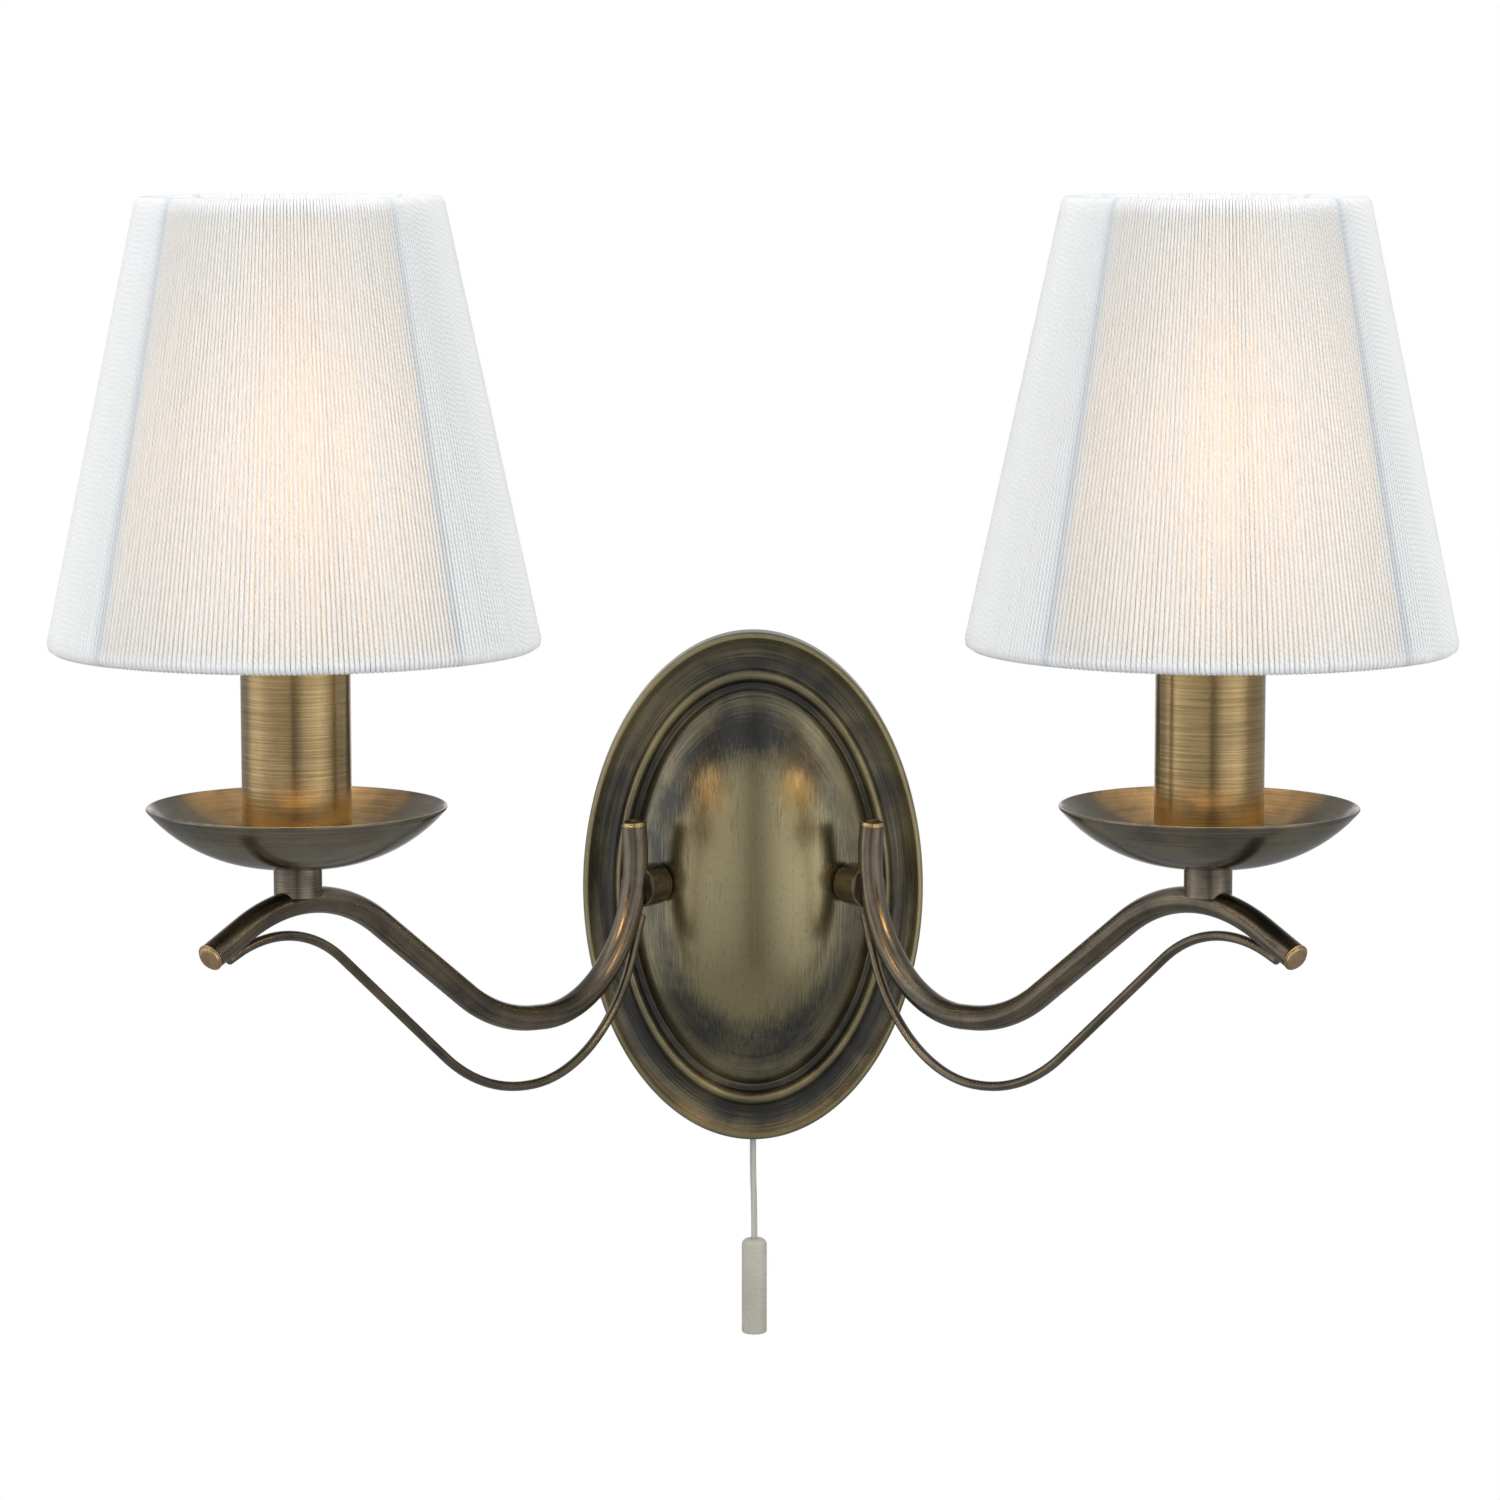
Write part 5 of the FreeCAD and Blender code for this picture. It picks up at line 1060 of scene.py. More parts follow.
# ----------------------------------------------------------------------- arms
@dataclass(frozen=True)
class EndCap:
    """Pressed cap of a tube's mouth: plug, neck, rolled lip and shallow crown."""

    plug_radius: float = 2.65
    plug_depth: float = 3.9
    seat: float = 0.05
    neck_radius: float = 3.35
    neck_top: float = 0.28
    lip_radius: float = 3.85
    lip_round: float = 0.22
    lip_height: float = 0.52
    step_foot: Pair = (0.48, 0.70)
    step_top: Pair = (0.56, 0.84)
    crown_edge: Pair = (1.0, 0.98)
    crown_round: float = 0.40
    crown: Tuple[Pair, ...] = ((1.6, 1.43), (0.0, 1.47))

    def outline(self) -> List[Pair]:
        """Half section of the cap, from the plug's foot to the crown."""
        plug, neck, lip = self.plug_radius, self.neck_radius, self.lip_radius
        points = [(0.0, -self.plug_depth), (plug, -self.plug_depth), (plug, self.seat)]
        points += [(neck, self.seat), (neck, self.neck_top)]
        points += arc_points((lip - self.lip_round, self.lip_height), self.lip_round, -80.0, 90.0, 6)
        points += [(lip - inset, height) for inset, height in (self.step_foot, self.step_top)]
        inset, height = self.crown_edge
        points += arc_points((lip - inset, height), self.crown_round, 0.0, 80.0, 5)
        return points + list(self.crown)


@dataclass
class Arm(SideAssembly):
    """One bent tube with its end caps, wire scroll, boss and stem collar."""

    route: PlaneRoute = PlaneRoute(
        ((-35.0, 8.0), (7.6, 26.2), (85.0, -27.5), (149.0, -33.3), (150.5, 15.0), (149.7, 21.4)),
        (58.0, 63.5, 41.0, 40.0),
    )
    scroll: PlaneRoute = PlaneRoute(
        ((-28.5, 6.0), (-1.6, 15.5), (78.9, -47.9), (135.6, -49.5), (153.2, -5.6)),
        (45.0, 66.0, 49.0),
    )
    cap: EndCap = EndCap()
    scroll_radius: float = 1.4
    scroll_edge: float = 0.35
    nipple_bore: float = 2.4
    boss_radius: float = 6.3
    boss_round: float = 3.4
    boss_start: float = 1.5
    boss_end: float = 13.7
    boss_chamfer: float = 0.4
    boss_neck: float = 0.8
    collar_radius: float = 6.6
    collar_foot: float = 20.0
    collar_top: float = 28.3
    collar_round: float = 0.4
    collar_step: float = 0.05

    def tube(self) -> None:
        """Builds the bent tube."""
        mesh = rod(self.route, LAYOUT.tube_radius, 40, 2.0)
        self.make(mesh, "bent_arm", ARM_BRASS, "arm_tube", place=LAYOUT.arm_plane(self.side))

    def scroll_wire(self) -> None:
        """Builds the thin scroll under the arm, its ends rounded."""
        mesh = rod(self.scroll, self.scroll_radius, 20, 2.5)
        ends = [face for face in mesh.faces if len(face.verts) > 4]
        rims = [edge for face in ends for edge in face.edges]
        bmesh.ops.bevel(mesh, geom=rims, offset=self.scroll_edge, offset_type="OFFSET", segments=3,
                        profile=0.5, affect="EDGES", material=-1)
        self.make(mesh, "scroll", ARM_BRASS, "scroll_rod", place=LAYOUT.arm_plane(self.side))

    def caps(self) -> None:
        """Builds both end caps as one piece."""
        mesh = bmesh.new()
        for mouth, heading in zip((self.route.points()[0], self.route.points()[-1]), self.route.headings()):
            cap = turned(self.cap.outline(), 48, closed=False)
            add_part(mesh, cap, LAYOUT.arm_plane(self.side) @ facing(mouth, heading))
        nodes = [self.side.named("end_caps")]
        make_piece(mesh, self.side.named("tip_caps"), CAP_BRASS, nodes)

    def boss(self) -> None:
        """Builds the short round boss between the dome and the arm."""
        radius, start, end, edge = self.boss_radius, self.boss_start, self.boss_end, self.boss_chamfer
        neck = radius - self.boss_round
        outline = [(self.nipple_bore, start), (radius - edge, start), (radius, start + edge)]
        outline += arc_points((neck, end - self.boss_neck - self.boss_round), self.boss_round, 0.0, 78.0, 9)
        outline += [(neck, end), (self.nipple_bore, end)]
        inward = -LAYOUT.outward(self.side)
        root = LAYOUT.stem(self.side, LAYOUT.boss_height) + inward * LAYOUT.root_reach
        self.make(turned(outline, 56), "round_boss", BOSS_BRASS, "arm_boss", place=facing(root, inward))

    def collar(self) -> None:
        """Builds the round collar between the arm's crest and the dish."""
        bore, radius, foot = self.nipple_bore, self.collar_radius, self.collar_foot
        top, edge = self.collar_top, self.collar_round
        outline = [(bore, foot), (radius, foot), (radius, top - edge - self.collar_step)]
        outline += arc_points((radius - edge, top - edge), edge, 0.0, 90.0, 4)
        outline += [(bore, top)]
        self.make(turned(outline, 56), "collar", COLLAR_BRASS, "stem_collar")

    def build(self) -> None:
        """Builds the whole arm."""
        self.tube()
        self.scroll_wire()
        self.caps()
        self.boss()
        self.collar()
        self.dress(ZINC, "boss_nipple", "stem_nipple")


# ------------------------------------------------------------ dish and candle
@dataclass
class Candle(SideAssembly):
    """Drip dish, brushed sleeve, lampholder and lit lamp of one stem."""

    seat: float = 28.3
    dish_radius: float = 40.9
    dish_rise: float = 15.8
    dish_flat: float = 7.0
    dish_sheet: float = 0.9
    dish_hole: float = 4.1
    dish_trim: float = 0.4
    sleeve_radius: float = 14.9
    sleeve_wall: float = 0.8
    sleeve_foot: float = 29.98
    sleeve_height: float = 72.3
    sleeve_round: float = 0.4
    sleeve_chamfer: Pair = (0.15, 0.2)
    glass_neck: float = 102.25
    glass_neck_radius: float = 6.8
    glass_widest: float = 126.2
    glass_radius: float = 17.5
    glass_taper: float = 49.5
    glass_tip_radius: float = 3.0
    glass_tip: float = 177.34

    def dish(self) -> None:
        """Builds the dish with its flat seat and rounded rim."""
        run = self.dish_radius - self.dish_flat
        bow = (run ** 2 + self.dish_rise ** 2) / (2.0 * self.dish_rise)
        centre = (self.dish_flat, self.seat + bow)
        lean = math.degrees(math.asin(run / bow)) - 90.0
        rim_turn = lean - self.dish_trim
        rim = arc_points(centre, bow - self.dish_sheet / 2.0, rim_turn, rim_turn, 1)[0]
        outline = [(self.dish_hole, self.seat)]
        outline += arc_points(centre, bow, -90.0, rim_turn, 30)
        outline += arc_points(rim, self.dish_sheet / 2.0, lean, lean + 180.0, 8)[1:-1]
        outline += arc_points(centre, bow - self.dish_sheet, rim_turn, -90.0, 26)
        outline += [(self.dish_hole, self.seat + self.dish_sheet)]
        brass = AgedBrass(self.side.named("dish_aged_brass"), (0.315, 0.270, 0.185), (0.095, 0.092, 0.084),
                          Brush.RINGS, centre=tuple(LAYOUT.stem(self.side) * MM), polish=0.14, satin=0.24,
                          streak=1700.0, patch=45.0)
        self.make(turned(outline, 144), "dish", brass, "drip_dish")

    def sleeve(self) -> None:
        """Builds the brushed sleeve with its softened top edge."""
        outer, foot, edge = self.sleeve_radius, self.sleeve_foot, self.sleeve_round
        top = foot + self.sleeve_height
        inset, rise = self.sleeve_chamfer
        outline = [(outer - self.sleeve_wall, foot), (outer - inset, foot), (outer, foot + rise)]
        outline += [(outer, (top + foot) / 2.0)]
        outline += arc_points((outer - edge, top - edge), edge, 0.0, 180.0, 8)
        self.make(turned(outline, 96), "sleeve", SLEEVE_BRASS, "candle_sleeve")

    def glass(self) -> None:
        """Builds the candle shaped lamp glass: belly, taper and round tip."""
        drop = self.glass_widest - self.glass_neck
        shrink = self.glass_radius - self.glass_neck_radius
        belly = (shrink ** 2 + drop ** 2) / (2.0 * shrink)
        turn = math.degrees(math.asin(drop / belly))
        narrow = self.glass_radius - self.glass_tip_radius
        bow = (narrow ** 2 + self.glass_taper ** 2) / (2.0 * narrow)
        lean = math.degrees(math.asin(self.glass_taper / bow))
        ball = self.glass_tip_radius / math.cos(math.radians(lean))
        outline = [(0.0, self.glass_neck)]
        outline += arc_points((self.glass_radius - belly, self.glass_widest), belly, -turn, 0.0, 16)
        outline += arc_points((self.glass_radius - bow, self.glass_widest), bow, 0.0, lean, 24)[1:]
        outline += arc_points((0.0, self.glass_tip - ball), ball, lean, 90.0, 7)[1:-1]
        outline.append((0.0, self.glass_tip))
        self.make(turned(outline, 64, closed=False), "lamp", OPAL, "lamp_glass", slot="lamp_glass")

    def build(self) -> None:
        """Builds the dish, the sleeve and the lamp, and dresses what is inside."""
        self.dish()
        self.sleeve()
        self.glass()
        self.dress(BLACK_PLASTIC, "lampholder_body", "lampholder_socket")
        self.dress(BRIGHT_BRASS, "lampholder_contact", "lampholder_liner")
        self.dress(CAP_METAL, "lamp_cap")
        self.dress(SLEEVING, "lamp_wire")


# ---------------------------------------------------------------------- shade
@dataclass(frozen=True)
class Winding:
    """How the string lies on the rings, and how uneven it is.

    Widths are shares of the string's own width, depths run from -1 inside to 1 outside, and
    how far aside a string lies is 0 at the shade's front and back and 1 at its sides.
    """

    count: int = 300
    radius: float = 0.5
    offset: float = 1.6
    roll: float = 3.5
    full_width: float = 1.30
    ring_width: float = 0.86
    outer_width: float = 1.28
    inner_gain: float = 0.25
    outer_loss: float = 0.12
    over_ring: float = 6.0
    seam_jump: float = 100.0
    closed_aside: float = 0.735
    closing: float = 0.05
    strut_aside: float = 0.707
    # Reach and depth of the painted shadow that each strut casts on the string beside it.
    shadow_before: float = 0.012
    shadow_after: float = 0.06
    shadow_tone: float = 0.8
    middle_aside: float = 0.36
    middle_loss: float = 0.09
    open_loss: float = 0.10
    open_outside: float = 0.4
    edge_reach: float = 0.9
    uneven_width: float = 0.04
    uneven_tone: float = 0.05
    drift: float = 0.10
    drift_kept: float = 0.7
    drift_turn: float = 0.45

    def openness(self, aside: float) -> float:
        """How open the winding is: 1 between the front and back struts, 0 at the sides."""
        return max(0.0, min(1.0, (self.closed_aside - aside) / self.closing))

    def strut_shadow_depth(self, aside: float) -> float:
        """How deep the painted shadow of a strut lies on the winding beside it, from 0 to 1."""
        past = aside - self.strut_aside
        return max(0.0, 1.0 + past / self.shadow_before if past < 0.0 else 1.0 - past / self.shadow_after)


@dataclass
class Shade(SideAssembly):
    """Tapered shade: wire frame, wound string and the clip that carries it."""

    ring_low: Pair = (64.35, 89.55)
    ring_high: Pair = (39.25, 206.95)
    ring_wire: float = 1.0
    strut_wire: float = 0.8
    winding: Winding = Winding()
    pivot: float = 184.741
    disc_foot: float = 186.741
    disc_height: float = 1.2
    disc_radius: float = 6.0
    disc_round: float = 0.3
    barrel_radius: float = 2.2
    barrel_bore: float = 1.05
    barrel_length: float = 6.6
    seed: int = 5

    def __post_init__(self) -> None:
        """Works out the wall between the rings, in the plane through the axis."""
        self.low = Vector((self.ring_low[0], 0.0, self.ring_low[1]))
        self.high = Vector((self.ring_high[0], 0.0, self.ring_high[1]))
        self.rise = self.ring_high[1] - self.ring_low[1]
        wall = Vector((self.ring_high[0] - self.ring_low[0], 0.0, self.rise))
        self.length = wall.length
        self.heading = wall.normalized()
        self.outside = Vector((self.heading.z, 0.0, -self.heading.x))

    def one_turn(self) -> Mesh:
        """One turn of the string round both rings, in the plane through the axis."""
        winding = self.winding
        mesh = bmesh.new()
        start = self.low + self.outside * winding.offset
        ring = Ring(mesh, winding.radius, 6, facing(start, self.heading))
        for way, centre in ((1.0, self.high), (-1.0, self.low)):
            for reach in (winding.roll, self.length - 2.0 * winding.roll, winding.roll):
                ring.run(self.heading * (way * reach))
            ring.bend(centre, -BESIDE, math.pi, 4)
        close_up(mesh)
        return mesh

    def strand_mark(self, corner: Vector) -> List[float]:
        """How far round and along the string a corner of a turn lies.

        Args:
            corner: The corner, before the string is squeezed.

        Returns:
            The turn round the string, as a share, and the way along it.
        """
        gap = corner - self.low
        rise = max(0.0, min(self.length, gap.dot(self.heading)))
        radial = (gap - self.heading * rise).dot(self.outside)
        reach = Vector((radial, gap.dot(self.heading) - rise)).length
        turned_by = math.atan2(corner.y, reach - self.winding.offset) / FULL_TURN
        inner_run = 2.0 * self.length - rise + self.winding.over_ring
        return [turned_by, rise if radial > 0.0 else inner_run]

    def mark_strand(self, turn: Mesh) -> None:
        """Writes the strand's marks on a turn, without a jump inside a face."""
        layer = turn.loops.layers.uv.new("strand")
        for face in turn.faces:
            marks = [self.strand_mark(loop.vert.co) for loop in face.loops]
            spread = [max(column) - min(column) for column in zip(*marks)]
            for loop, mark in zip(face.loops, marks):
                if spread[0] > 0.5 and mark[0] < 0.0:
                    mark[0] += 1.0
                if spread[1] > self.winding.seam_jump and mark[1] > self.length:
                    mark[1] -= 2.0 * self.length
                loop[layer].uv = mark

    def squeeze(self, turn: Mesh) -> None:
        """Fits the string to its share of the rings: closed inside and over the rings, open outside."""
        winding = self.winding
        for corner in turn.verts:
            gap = corner.co - self.low
            room = FULL_TURN * corner.co.x / winding.count
            depth = max(-1.0, min(1.0, gap.dot(self.outside) / winding.offset))
            full = winding.full_width * room / (2.0 * winding.radius)
            along = gap.dot(self.heading)
            if SHORTEST_RUN <= along <= self.length - SHORTEST_RUN:
                open_width = winding.outer_width + (1.0 - depth) * winding.inner_gain
                corner.co.y *= min(open_width, full - (1.0 + depth) * winding.outer_loss * full)
            else:
                corner.co.y *= winding.ring_width * full
            corner.co.y += (1.0 - depth) * room / 4.0

    def base_turn(self) -> bpy.types.Mesh:
        """One finished turn of the string, with its layers."""
        turn = self.one_turn()
        self.mark_strand(turn)
        self.squeeze(turn)
        turn.verts.layers.float.new("tone")
        turn.verts.layers.float.new("open")
        base = bpy.data.meshes.new("one_turn")
        turn.to_mesh(base)
        turn.free()
        return base

    def strings(self) -> None:
        """Builds the wound string cover, a turn at a time, slightly uneven."""
        winding = self.winding
        chance = random.Random(self.seed + self.side.value)
        base = self.base_turn()
        cover = bmesh.new()
        cover.from_mesh(base)
        bmesh.ops.delete(cover, geom=list(cover.verts), context="VERTS")
        tone_layer = cover.verts.layers.float["tone"]
        open_layer = cover.verts.layers.float["open"]
        drift = 0.0
        for step in range(winding.count):
            drift = winding.drift_kept * drift + chance.uniform(-winding.drift, winding.drift)
            turn = FULL_TURN / winding.count * (step + drift * winding.drift_turn)
            aside = abs(math.cos(turn))
            opened = winding.openness(aside)
            middle = winding.middle_loss * max(0.0, 1.0 - aside / winding.middle_aside)
            width = 1.0 - winding.open_loss * opened
            width *= 1.0 + chance.uniform(-winding.uneven_width, winding.uneven_width)
            # Each turn's tone is uneven at random. Beside a strut it is also lowered, a painted shadow of
            # the strut that the string's finish turns blue-grey.
            tone = 0.5 + 0.5 * drift + chance.uniform(-winding.uneven_tone, winding.uneven_tone)
            tone -= winding.shadow_tone * winding.strut_shadow_depth(aside)
            before = len(cover.verts)
            cover.from_mesh(base)
            cover.verts.ensure_lookup_table()
            added = cover.verts[before:]
            for corner in added:
                height = (corner.co.z - self.ring_low[1]) / self.rise
                outer = max(0.0, min(1.0, (corner.co - self.low).dot(self.outside) / winding.offset))
                corner.co.y *= 1.0 + outer * (width * (1.0 - middle * max(0.0, height)) - 1.0)
                corner[tone_layer] = tone
                edge = (0.5 - abs(height - 0.5)) * self.rise / (winding.edge_reach * winding.roll)
                corner[open_layer] = opened * (1.0 - winding.open_outside * outer) * max(0.0, min(1.0, edge))
            bmesh.ops.rotate(cover, cent=ORIGIN, matrix=Matrix.Rotation(turn, 3, "Z"), verts=added)
        bpy.data.meshes.remove(base)
        self.hang(cover, "wound_string", STRING, "shade_string", "shade_strings", crease=80.0)

    def hang(self, mesh: Mesh, name: str, finish: Finish, slot: str, node: str,
             crease: float = SHARP_EDGE) -> None:
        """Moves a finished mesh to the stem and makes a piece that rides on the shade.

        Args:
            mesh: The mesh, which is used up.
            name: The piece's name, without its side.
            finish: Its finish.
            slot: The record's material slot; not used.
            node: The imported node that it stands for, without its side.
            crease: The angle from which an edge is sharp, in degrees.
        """
        place_mesh(mesh, Matrix.Translation(LAYOUT.stem(self.side)))
        make_piece(mesh, self.side.named(name), finish, [self.side.named(node)],
                   self.side.named("shade"), crease)

    def bar(self, mesh: Mesh, start: Vector, end: Vector, radius: float) -> None:
        """Adds one straight wire between two points."""
        bmesh.ops.create_cone(mesh, cap_ends=True, segments=16, radius1=radius, radius2=radius,
                              depth=(end - start).length, matrix=facing((start + end) / 2.0, end - start))

    def disc(self) -> Mesh:
        """Round plate at the middle of the spider."""
        foot, radius, edge = self.disc_foot, self.disc_radius, self.disc_round
        top = foot + self.disc_height
        outline = [(0.0, foot), (radius - edge, foot), (radius, foot + edge)]
        outline += [(radius, top - edge), (radius - edge, top), (0.0, top)]
        return turned(outline, 48, closed=False)

    def barrel(self) -> Mesh:
        """Barrel that the pivot pin goes through, upright so far."""
        half, bore, radius = self.barrel_length / 2.0, self.barrel_bore, self.barrel_radius
        return turned([(bore, -half), (radius, -half), (radius, half), (bore, half)], 40)

    def wire_frame(self) -> None:
        """Builds the rings, struts and spider."""
        mesh = bmesh.new()
        for ring in (self.ring_low, self.ring_high):
            add_part(mesh, turned(arc_points(ring, self.ring_wire, 0.0, 330.0, 11), 96))
        hub = Vector((self.disc_radius - 1.0, 0.0, self.disc_foot + self.disc_height / 2.0))
        for step in range(4):
            turn = Matrix.Rotation(math.radians(45.0 + 90.0 * step), 3, "Z")
            self.bar(mesh, turn @ self.low, turn @ self.high, self.strut_wire)
            self.bar(mesh, turn @ hub, turn @ self.high, self.ring_wire)
        add_part(mesh, self.disc())
        across = Matrix.Rotation(QUARTER_TURN, 4, "X")
        add_part(mesh, self.barrel(), Matrix.Translation((0.0, 0.0, self.pivot)) @ across)
        bmesh.ops.recalc_face_normals(mesh, faces=mesh.faces)
        self.hang(mesh, "wire_frame", ENAMEL, "frame_wire", "shade_frame")

    def build(self) -> None:
        """Builds the shade and dresses its clip."""
        self.wire_frame()
        self.strings()
        self.dress(SPRING_WIRE, "shade_clip", "pivot_pin")


# ------------------------------------------------------------------ pull cord
@dataclass
class PullCord:
    """Hanging cord with its handle, below the backplate."""

    depth: float = 4.6
    swing_height: float = -78.0
    diameter: float = 1.9
    length: float = 30.41
    route: Tuple[Pair, ...] = ((0.0, 0.0), (0.0, 9.4), (0.4, 21.0), (0.4, 30.4))
    handle_radius: float = 3.8
    handle_length: float = 29.2
    handle_foot_round: float = 0.6
    handle_top_round: float = 1.9
    handle_bore: float = 1.0
    bore_chamfer: float = 0.25
    cavity_radius: float = 2.4
    cavity_length: float = 20.0

    def cord(self) -> bpy.types.Object:
        """Builds the cord as a smooth curve.

        Returns:
            The curve object.
        """
        data = bpy.data.curves.new("pull_cord_line", "CURVE")
        data.dimensions = "3D"
        data.bevel_depth = self.diameter / 2.0 * MM
        data.bevel_resolution = 6
        data.resolution_u = 16
        data.use_fill_caps = True
        line = data.splines.new("NURBS")
        line.points.add(len(self.route) - 1)
        for point, (sideways, drop) in zip(line.points, self.route):
            point.co = (sideways * MM, -self.depth * MM, (self.swing_height - drop) * MM, 1.0)
        line.order_u = 3
        line.use_endpoint_u = True
        data.materials.append(FINISHES.get(CORD))
        piece = show("pull_cord_line", data)
        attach(piece, "cord_pull")
        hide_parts("pull_cord")
        LOG.info("pull_cord_line: curve of %d points", len(self.route))
        return piece

    def knuckle(self) -> None:
        """Builds the ball of cord on which the hanging stretch swings."""
        mesh = bmesh.new()
        bmesh.ops.create_uvsphere(mesh, u_segments=24, v_segments=14, radius=self.diameter / 2.0)
        place_mesh(mesh, Matrix.Translation((0.0, -self.depth, self.swing_height)))
        close_up(mesh)
        make_piece(mesh, "cord_knuckle", CORD, [], "cord_pull")

    def handle(self) -> bpy.types.Object:
        """Builds the moulded handle, hollow from below.

        Returns:
            The handle.
        """
        sideways, drop = self.route[-1]
        top = self.swing_height - drop
        foot = top - self.handle_length
        roof = foot + self.cavity_length
        outer, inner, bore = self.handle_radius, self.cavity_radius, self.handle_bore
        low_edge, high_edge = self.handle_foot_round, self.handle_top_round
        outline = [(inner, foot), (outer - low_edge, foot)]
        outline += arc_points((outer - low_edge, foot + low_edge), low_edge, -75.0, 0.0, 4)
        outline += [(outer, (foot + top) / 2.0)]
        outline += arc_points((outer - high_edge, top - high_edge), high_edge, 0.0, 82.0, 8)
        chamfer = self.bore_chamfer
        outline += [(bore + chamfer, top), (bore, top - chamfer), (bore, roof), (inner, roof)]
        mesh = turned(outline, 64)
        place_mesh(mesh, Matrix.Translation((sideways, -self.depth, 0.0)))
        close_up(mesh)
        return make_piece(mesh, "cord_handle", HANDLE_PLASTIC, ["pull_handle"], "cord_pull")

    def build(self) -> None:
        cord = self.cord()
        self.knuckle()
        handle = self.handle()
        dress(CORD, "cord_knot", "switch_cord")


# ------------------------------------------------------- what the plate hides
@dataclass
class WallSide:
    """Bracket, terminals and switch behind the backplate."""

    finishes: Tuple[Tuple[Finish, Tuple[str, ...]], ...] = (
        (ZINC, ("wall_bracket", "boss_washers", "boss_nuts", "switch_screws")),
        (BRIGHT_BRASS, ("earth_screw", "terminal_inserts", "terminal_screws")),
        (CAP_BRASS, ("cover_screws",)),
        (WHITE_PLASTIC, ("terminal_block", "switch_housing", "cord_bush")),
        (BLACK_PLASTIC, ("switch_slider",)),
        (SLEEVING, ("switch_wire",)),
    )
    coil_foot: float = -47.95
    coil_top: float = -36.10
    coil_radius: float = 1.7
    coil_wire: float = 0.38
    coil_gap: float = 0.02
    coil_depth: float = 4.6
    coil_turns: int = 7
    coil_steps: int = 20
    switch_travel: float = 8.0

    def coil(self) -> None:
        """Builds the switch's return spring, which rides on the switch's plunger."""
        length = self.coil_top - self.coil_foot
        end = self.coil_wire + self.coil_gap
        steps = self.coil_turns * self.coil_steps
        mesh = bmesh.new()
        start = Matrix.Translation((self.coil_radius, 0.0, self.coil_foot + end))
        ring = Ring(mesh, self.coil_wire, 8, start @ Matrix.Rotation(QUARTER_TURN, 4, "X"))
        ring.cap()
        ring.bend(ORIGIN, UP, FULL_TURN * self.coil_turns, steps, (length - 2.0 * end) / steps)
        ring.cap()
        place_mesh(mesh, Matrix.Translation((0.0, -self.coil_depth, 0.0)))
        close_up(mesh)
        piece = make_piece(mesh, "switch_coil", SPRING_WIRE, ["switch_spring"],
                           "switch_plunger")
        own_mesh(piece)

    def build(self) -> None:
        """Dresses every hidden node and winds the spring."""
        for finish, nodes in self.finishes:
            dress(finish, *nodes)
        self.coil()


# --------------------------------------------------------------------- studio
@dataclass(frozen=True)
class Lamp:
    """One soft lamp of the studio, in metres and watts."""

    name: str
    place: Place
    size: Pair
    power: float


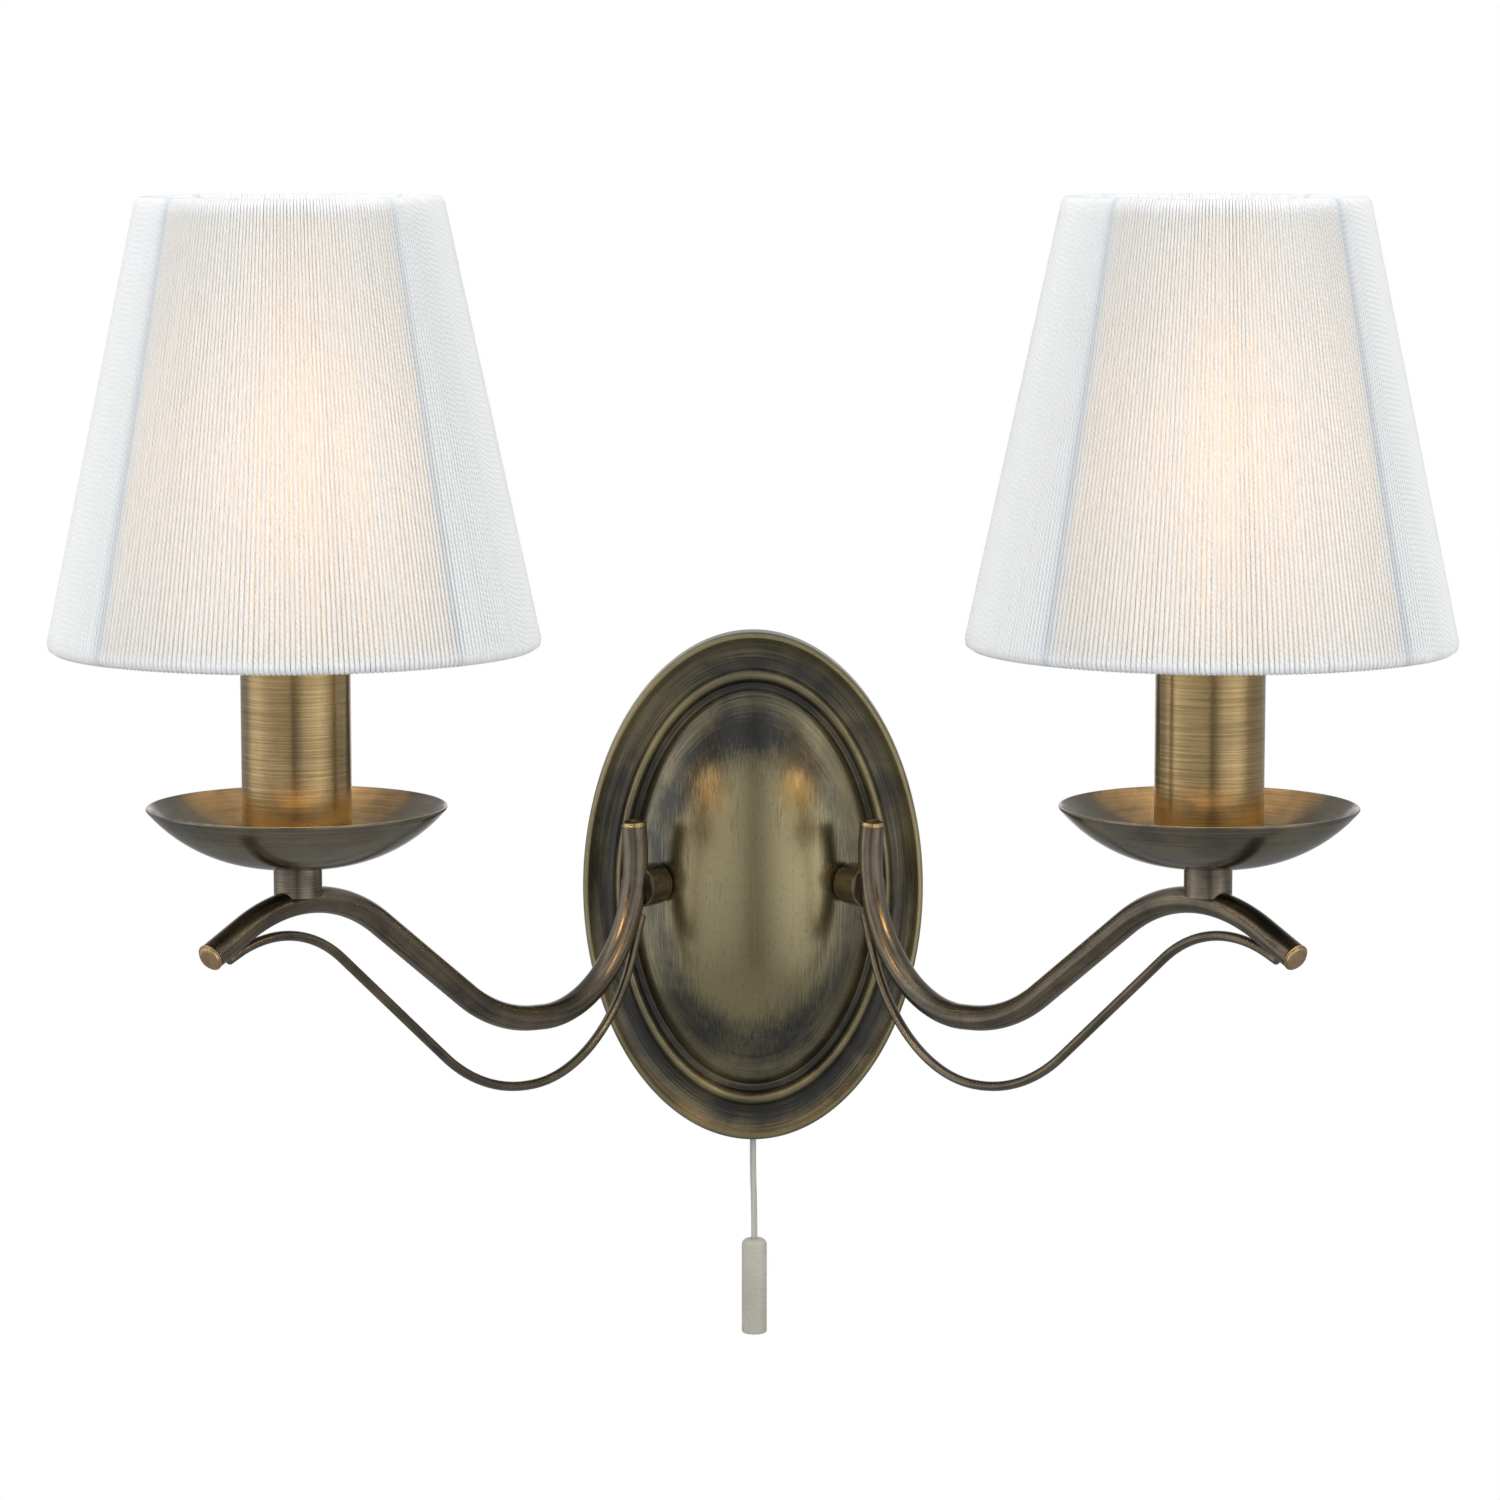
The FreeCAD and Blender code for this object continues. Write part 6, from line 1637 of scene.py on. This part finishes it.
@dataclass
class Studio:
    """Camera, lamps, floor and surroundings, in metres."""

    camera_place: Place = (0.0, -1.481, 0.2341)
    pitch: float = 0.13
    sensor: float = 36.0
    lens: float = 119.2
    shift: float = -0.002
    clip: Pair = (0.05, 60.0)
    floor_height: float = -1.3
    floor_radius: float = 2.2
    floor_dark: Colour = (0.66, 0.66, 0.65)
    floor_pale: Colour = (0.70, 0.70, 0.69)
    # Dark grey that the metal mirrors in place of the floor, and how much of it: a painted dark reflection.
    floor_mirrored: Colour = (0.10, 0.10, 0.10)
    floor_dimming: float = 0.62
    floor_glow: float = 0.8
    target: Place = (0.0, -0.1, 0.05)
    lamps: Tuple[Lamp, ...] = (
        Lamp("key", (-1.5, -1.7, 1.3), (0.9, 1.1), 30.0),
        Lamp("fill", (1.7, -1.3, 0.5), (0.5, 1.3), 18.0),
        Lamp("top", (0.1, -0.5, 1.9), (1.2, 0.8), 12.0),
    )
    room_level: float = 1.2
    round_room: Tuple[Pair, ...] = (
        (-180.0, 0.30), (-150.0, 0.30), (-118.0, 0.40), (-98.0, 0.95), (-80.0, 1.00), (-65.0, 0.78),
        (-50.0, 0.66), (-24.0, 0.58), (-9.0, 0.50), (0.0, 0.18), (9.0, 0.36), (24.0, 0.74), (40.0, 0.88),
        (54.0, 1.00), (68.0, 0.80), (84.0, 0.40), (103.0, 0.36), (150.0, 0.34), (180.0, 0.30),
    )
    up_room: Tuple[Pair, ...] = (
        (-1.0, 0.10), (-0.84, 0.22), (-0.62, 0.44), (-0.40, 0.68), (-0.20, 0.90), (0.0, 0.98), (0.28, 1.0),
        (0.5, 0.95), (0.64, 0.85), (0.77, 0.80), (0.9, 0.88), (1.0, 0.90),
    )

    def camera(self) -> None:
        """Sets the camera at the photograph's viewpoint."""
        data = bpy.data.cameras.new("camera")
        data.sensor_width = self.sensor
        data.lens = self.lens
        data.shift_x = self.shift
        data.clip_start, data.clip_end = self.clip
        eye = show("camera", data)
        eye.location = self.camera_place
        eye.rotation_euler = (QUARTER_TURN - self.pitch, 0.0, 0.0)
        bpy.context.scene.camera = eye

    def lights(self) -> None:
        """Hangs the soft lamps, which the metal doesn't mirror."""
        for lamp in self.lamps:
            data = bpy.data.lights.new(lamp.name, "AREA")
            data.shape = "RECTANGLE"
            data.size, data.size_y = lamp.size
            data.energy = lamp.power
            light = show(lamp.name, data)
            light.location = lamp.place
            aim = Vector(self.target) - Vector(lamp.place)
            light.rotation_euler = aim.to_track_quat("-Z", "Y").to_euler()
            light.visible_glossy = False

    def floor(self) -> None:
        """Lays the pale floor, far below the wall light, painted dark where the metal mirrors it."""
        mesh = bmesh.new()
        bmesh.ops.create_circle(mesh, cap_ends=True, segments=96, radius=self.floor_radius,
                                matrix=Matrix.Translation((0.0, 0.0, self.floor_height)))
        floor = show_mesh(mesh, "floor", scale=1.0)
        graph = Graph(bpy.data.materials.new("pale_floor"))
        mottle = graph.noise(graph.objects, scale=3.0)
        tint = graph.ramp(mottle, [(0.3, self.floor_dark), (0.7, self.floor_pale)])
        # Painted dark reflection: glossy rays see the floor mixed towards dark grey, so the brass mirrors a
        # darker floor than the lamps light.
        colour = graph.blend(graph.ray("Is Glossy Ray") * self.floor_dimming, tint, self.floor_mirrored)
        paint = graph.shader(Base_Color=colour, Roughness=0.8)
        glow = graph.out(graph.node("Emission", Color=WHITE, Strength=1.0))
        shown = graph.mix(graph.seen_straight() * self.floor_glow, paint, glow)
        floor.data.materials.append(graph.finish(shown))

    def world(self) -> None:
        """Surrounds the light with a pale studio, and with white where its background is seen."""
        graph = Graph(bpy.data.worlds.new("studio"))
        x, y, z = graph.parts_of(graph.directions)
        heading = graph.span(graph.math("ARCTAN2", x, y * -1.0), -math.pi, math.pi, 0.0, 1.0)
        level = graph.greys(heading, [(place / 360.0 + 0.5, grey) for place, grey in self.round_room])
        height = graph.greys(graph.span(z, -1.0, 1.0, 0.0, 1.0),
                             [(place / 2.0 + 0.5, grey) for place, grey in self.up_room])
        room = graph.blend(1.0, level, height, mode="MULTIPLY")
        studio = graph.out(graph.node("Background", Color=room, Strength=self.room_level))
        white = graph.out(graph.node("Background", Color=WHITE, Strength=1.0))
        behind = graph.ray("Is Glossy Ray") * graph.span(y, 0.93, 0.99, 0.0, 1.0)
        shown = graph.math("MAXIMUM", graph.seen_straight(), behind)
        bpy.context.scene.world = graph.finish(graph.mix(shown, studio, white))

    def build(self) -> None:
        """Sets up the whole studio."""
        bpy.context.scene.view_settings.view_transform = "Standard"
        self.camera()
        self.lights()
        self.floor()
        self.world()


def main() -> None:
    """Builds every sub-assembly in order, then the studio."""
    logging.basicConfig(level=logging.INFO, format="%(name)s %(message)s")
    Backplate().build()
    WallSide().build()
    for side in Side:
        Arm(side).build()
        Candle(side).build()
        Shade(side).build()
    PullCord().build()
    Studio().build()


if __name__ == "__main__":
    main()
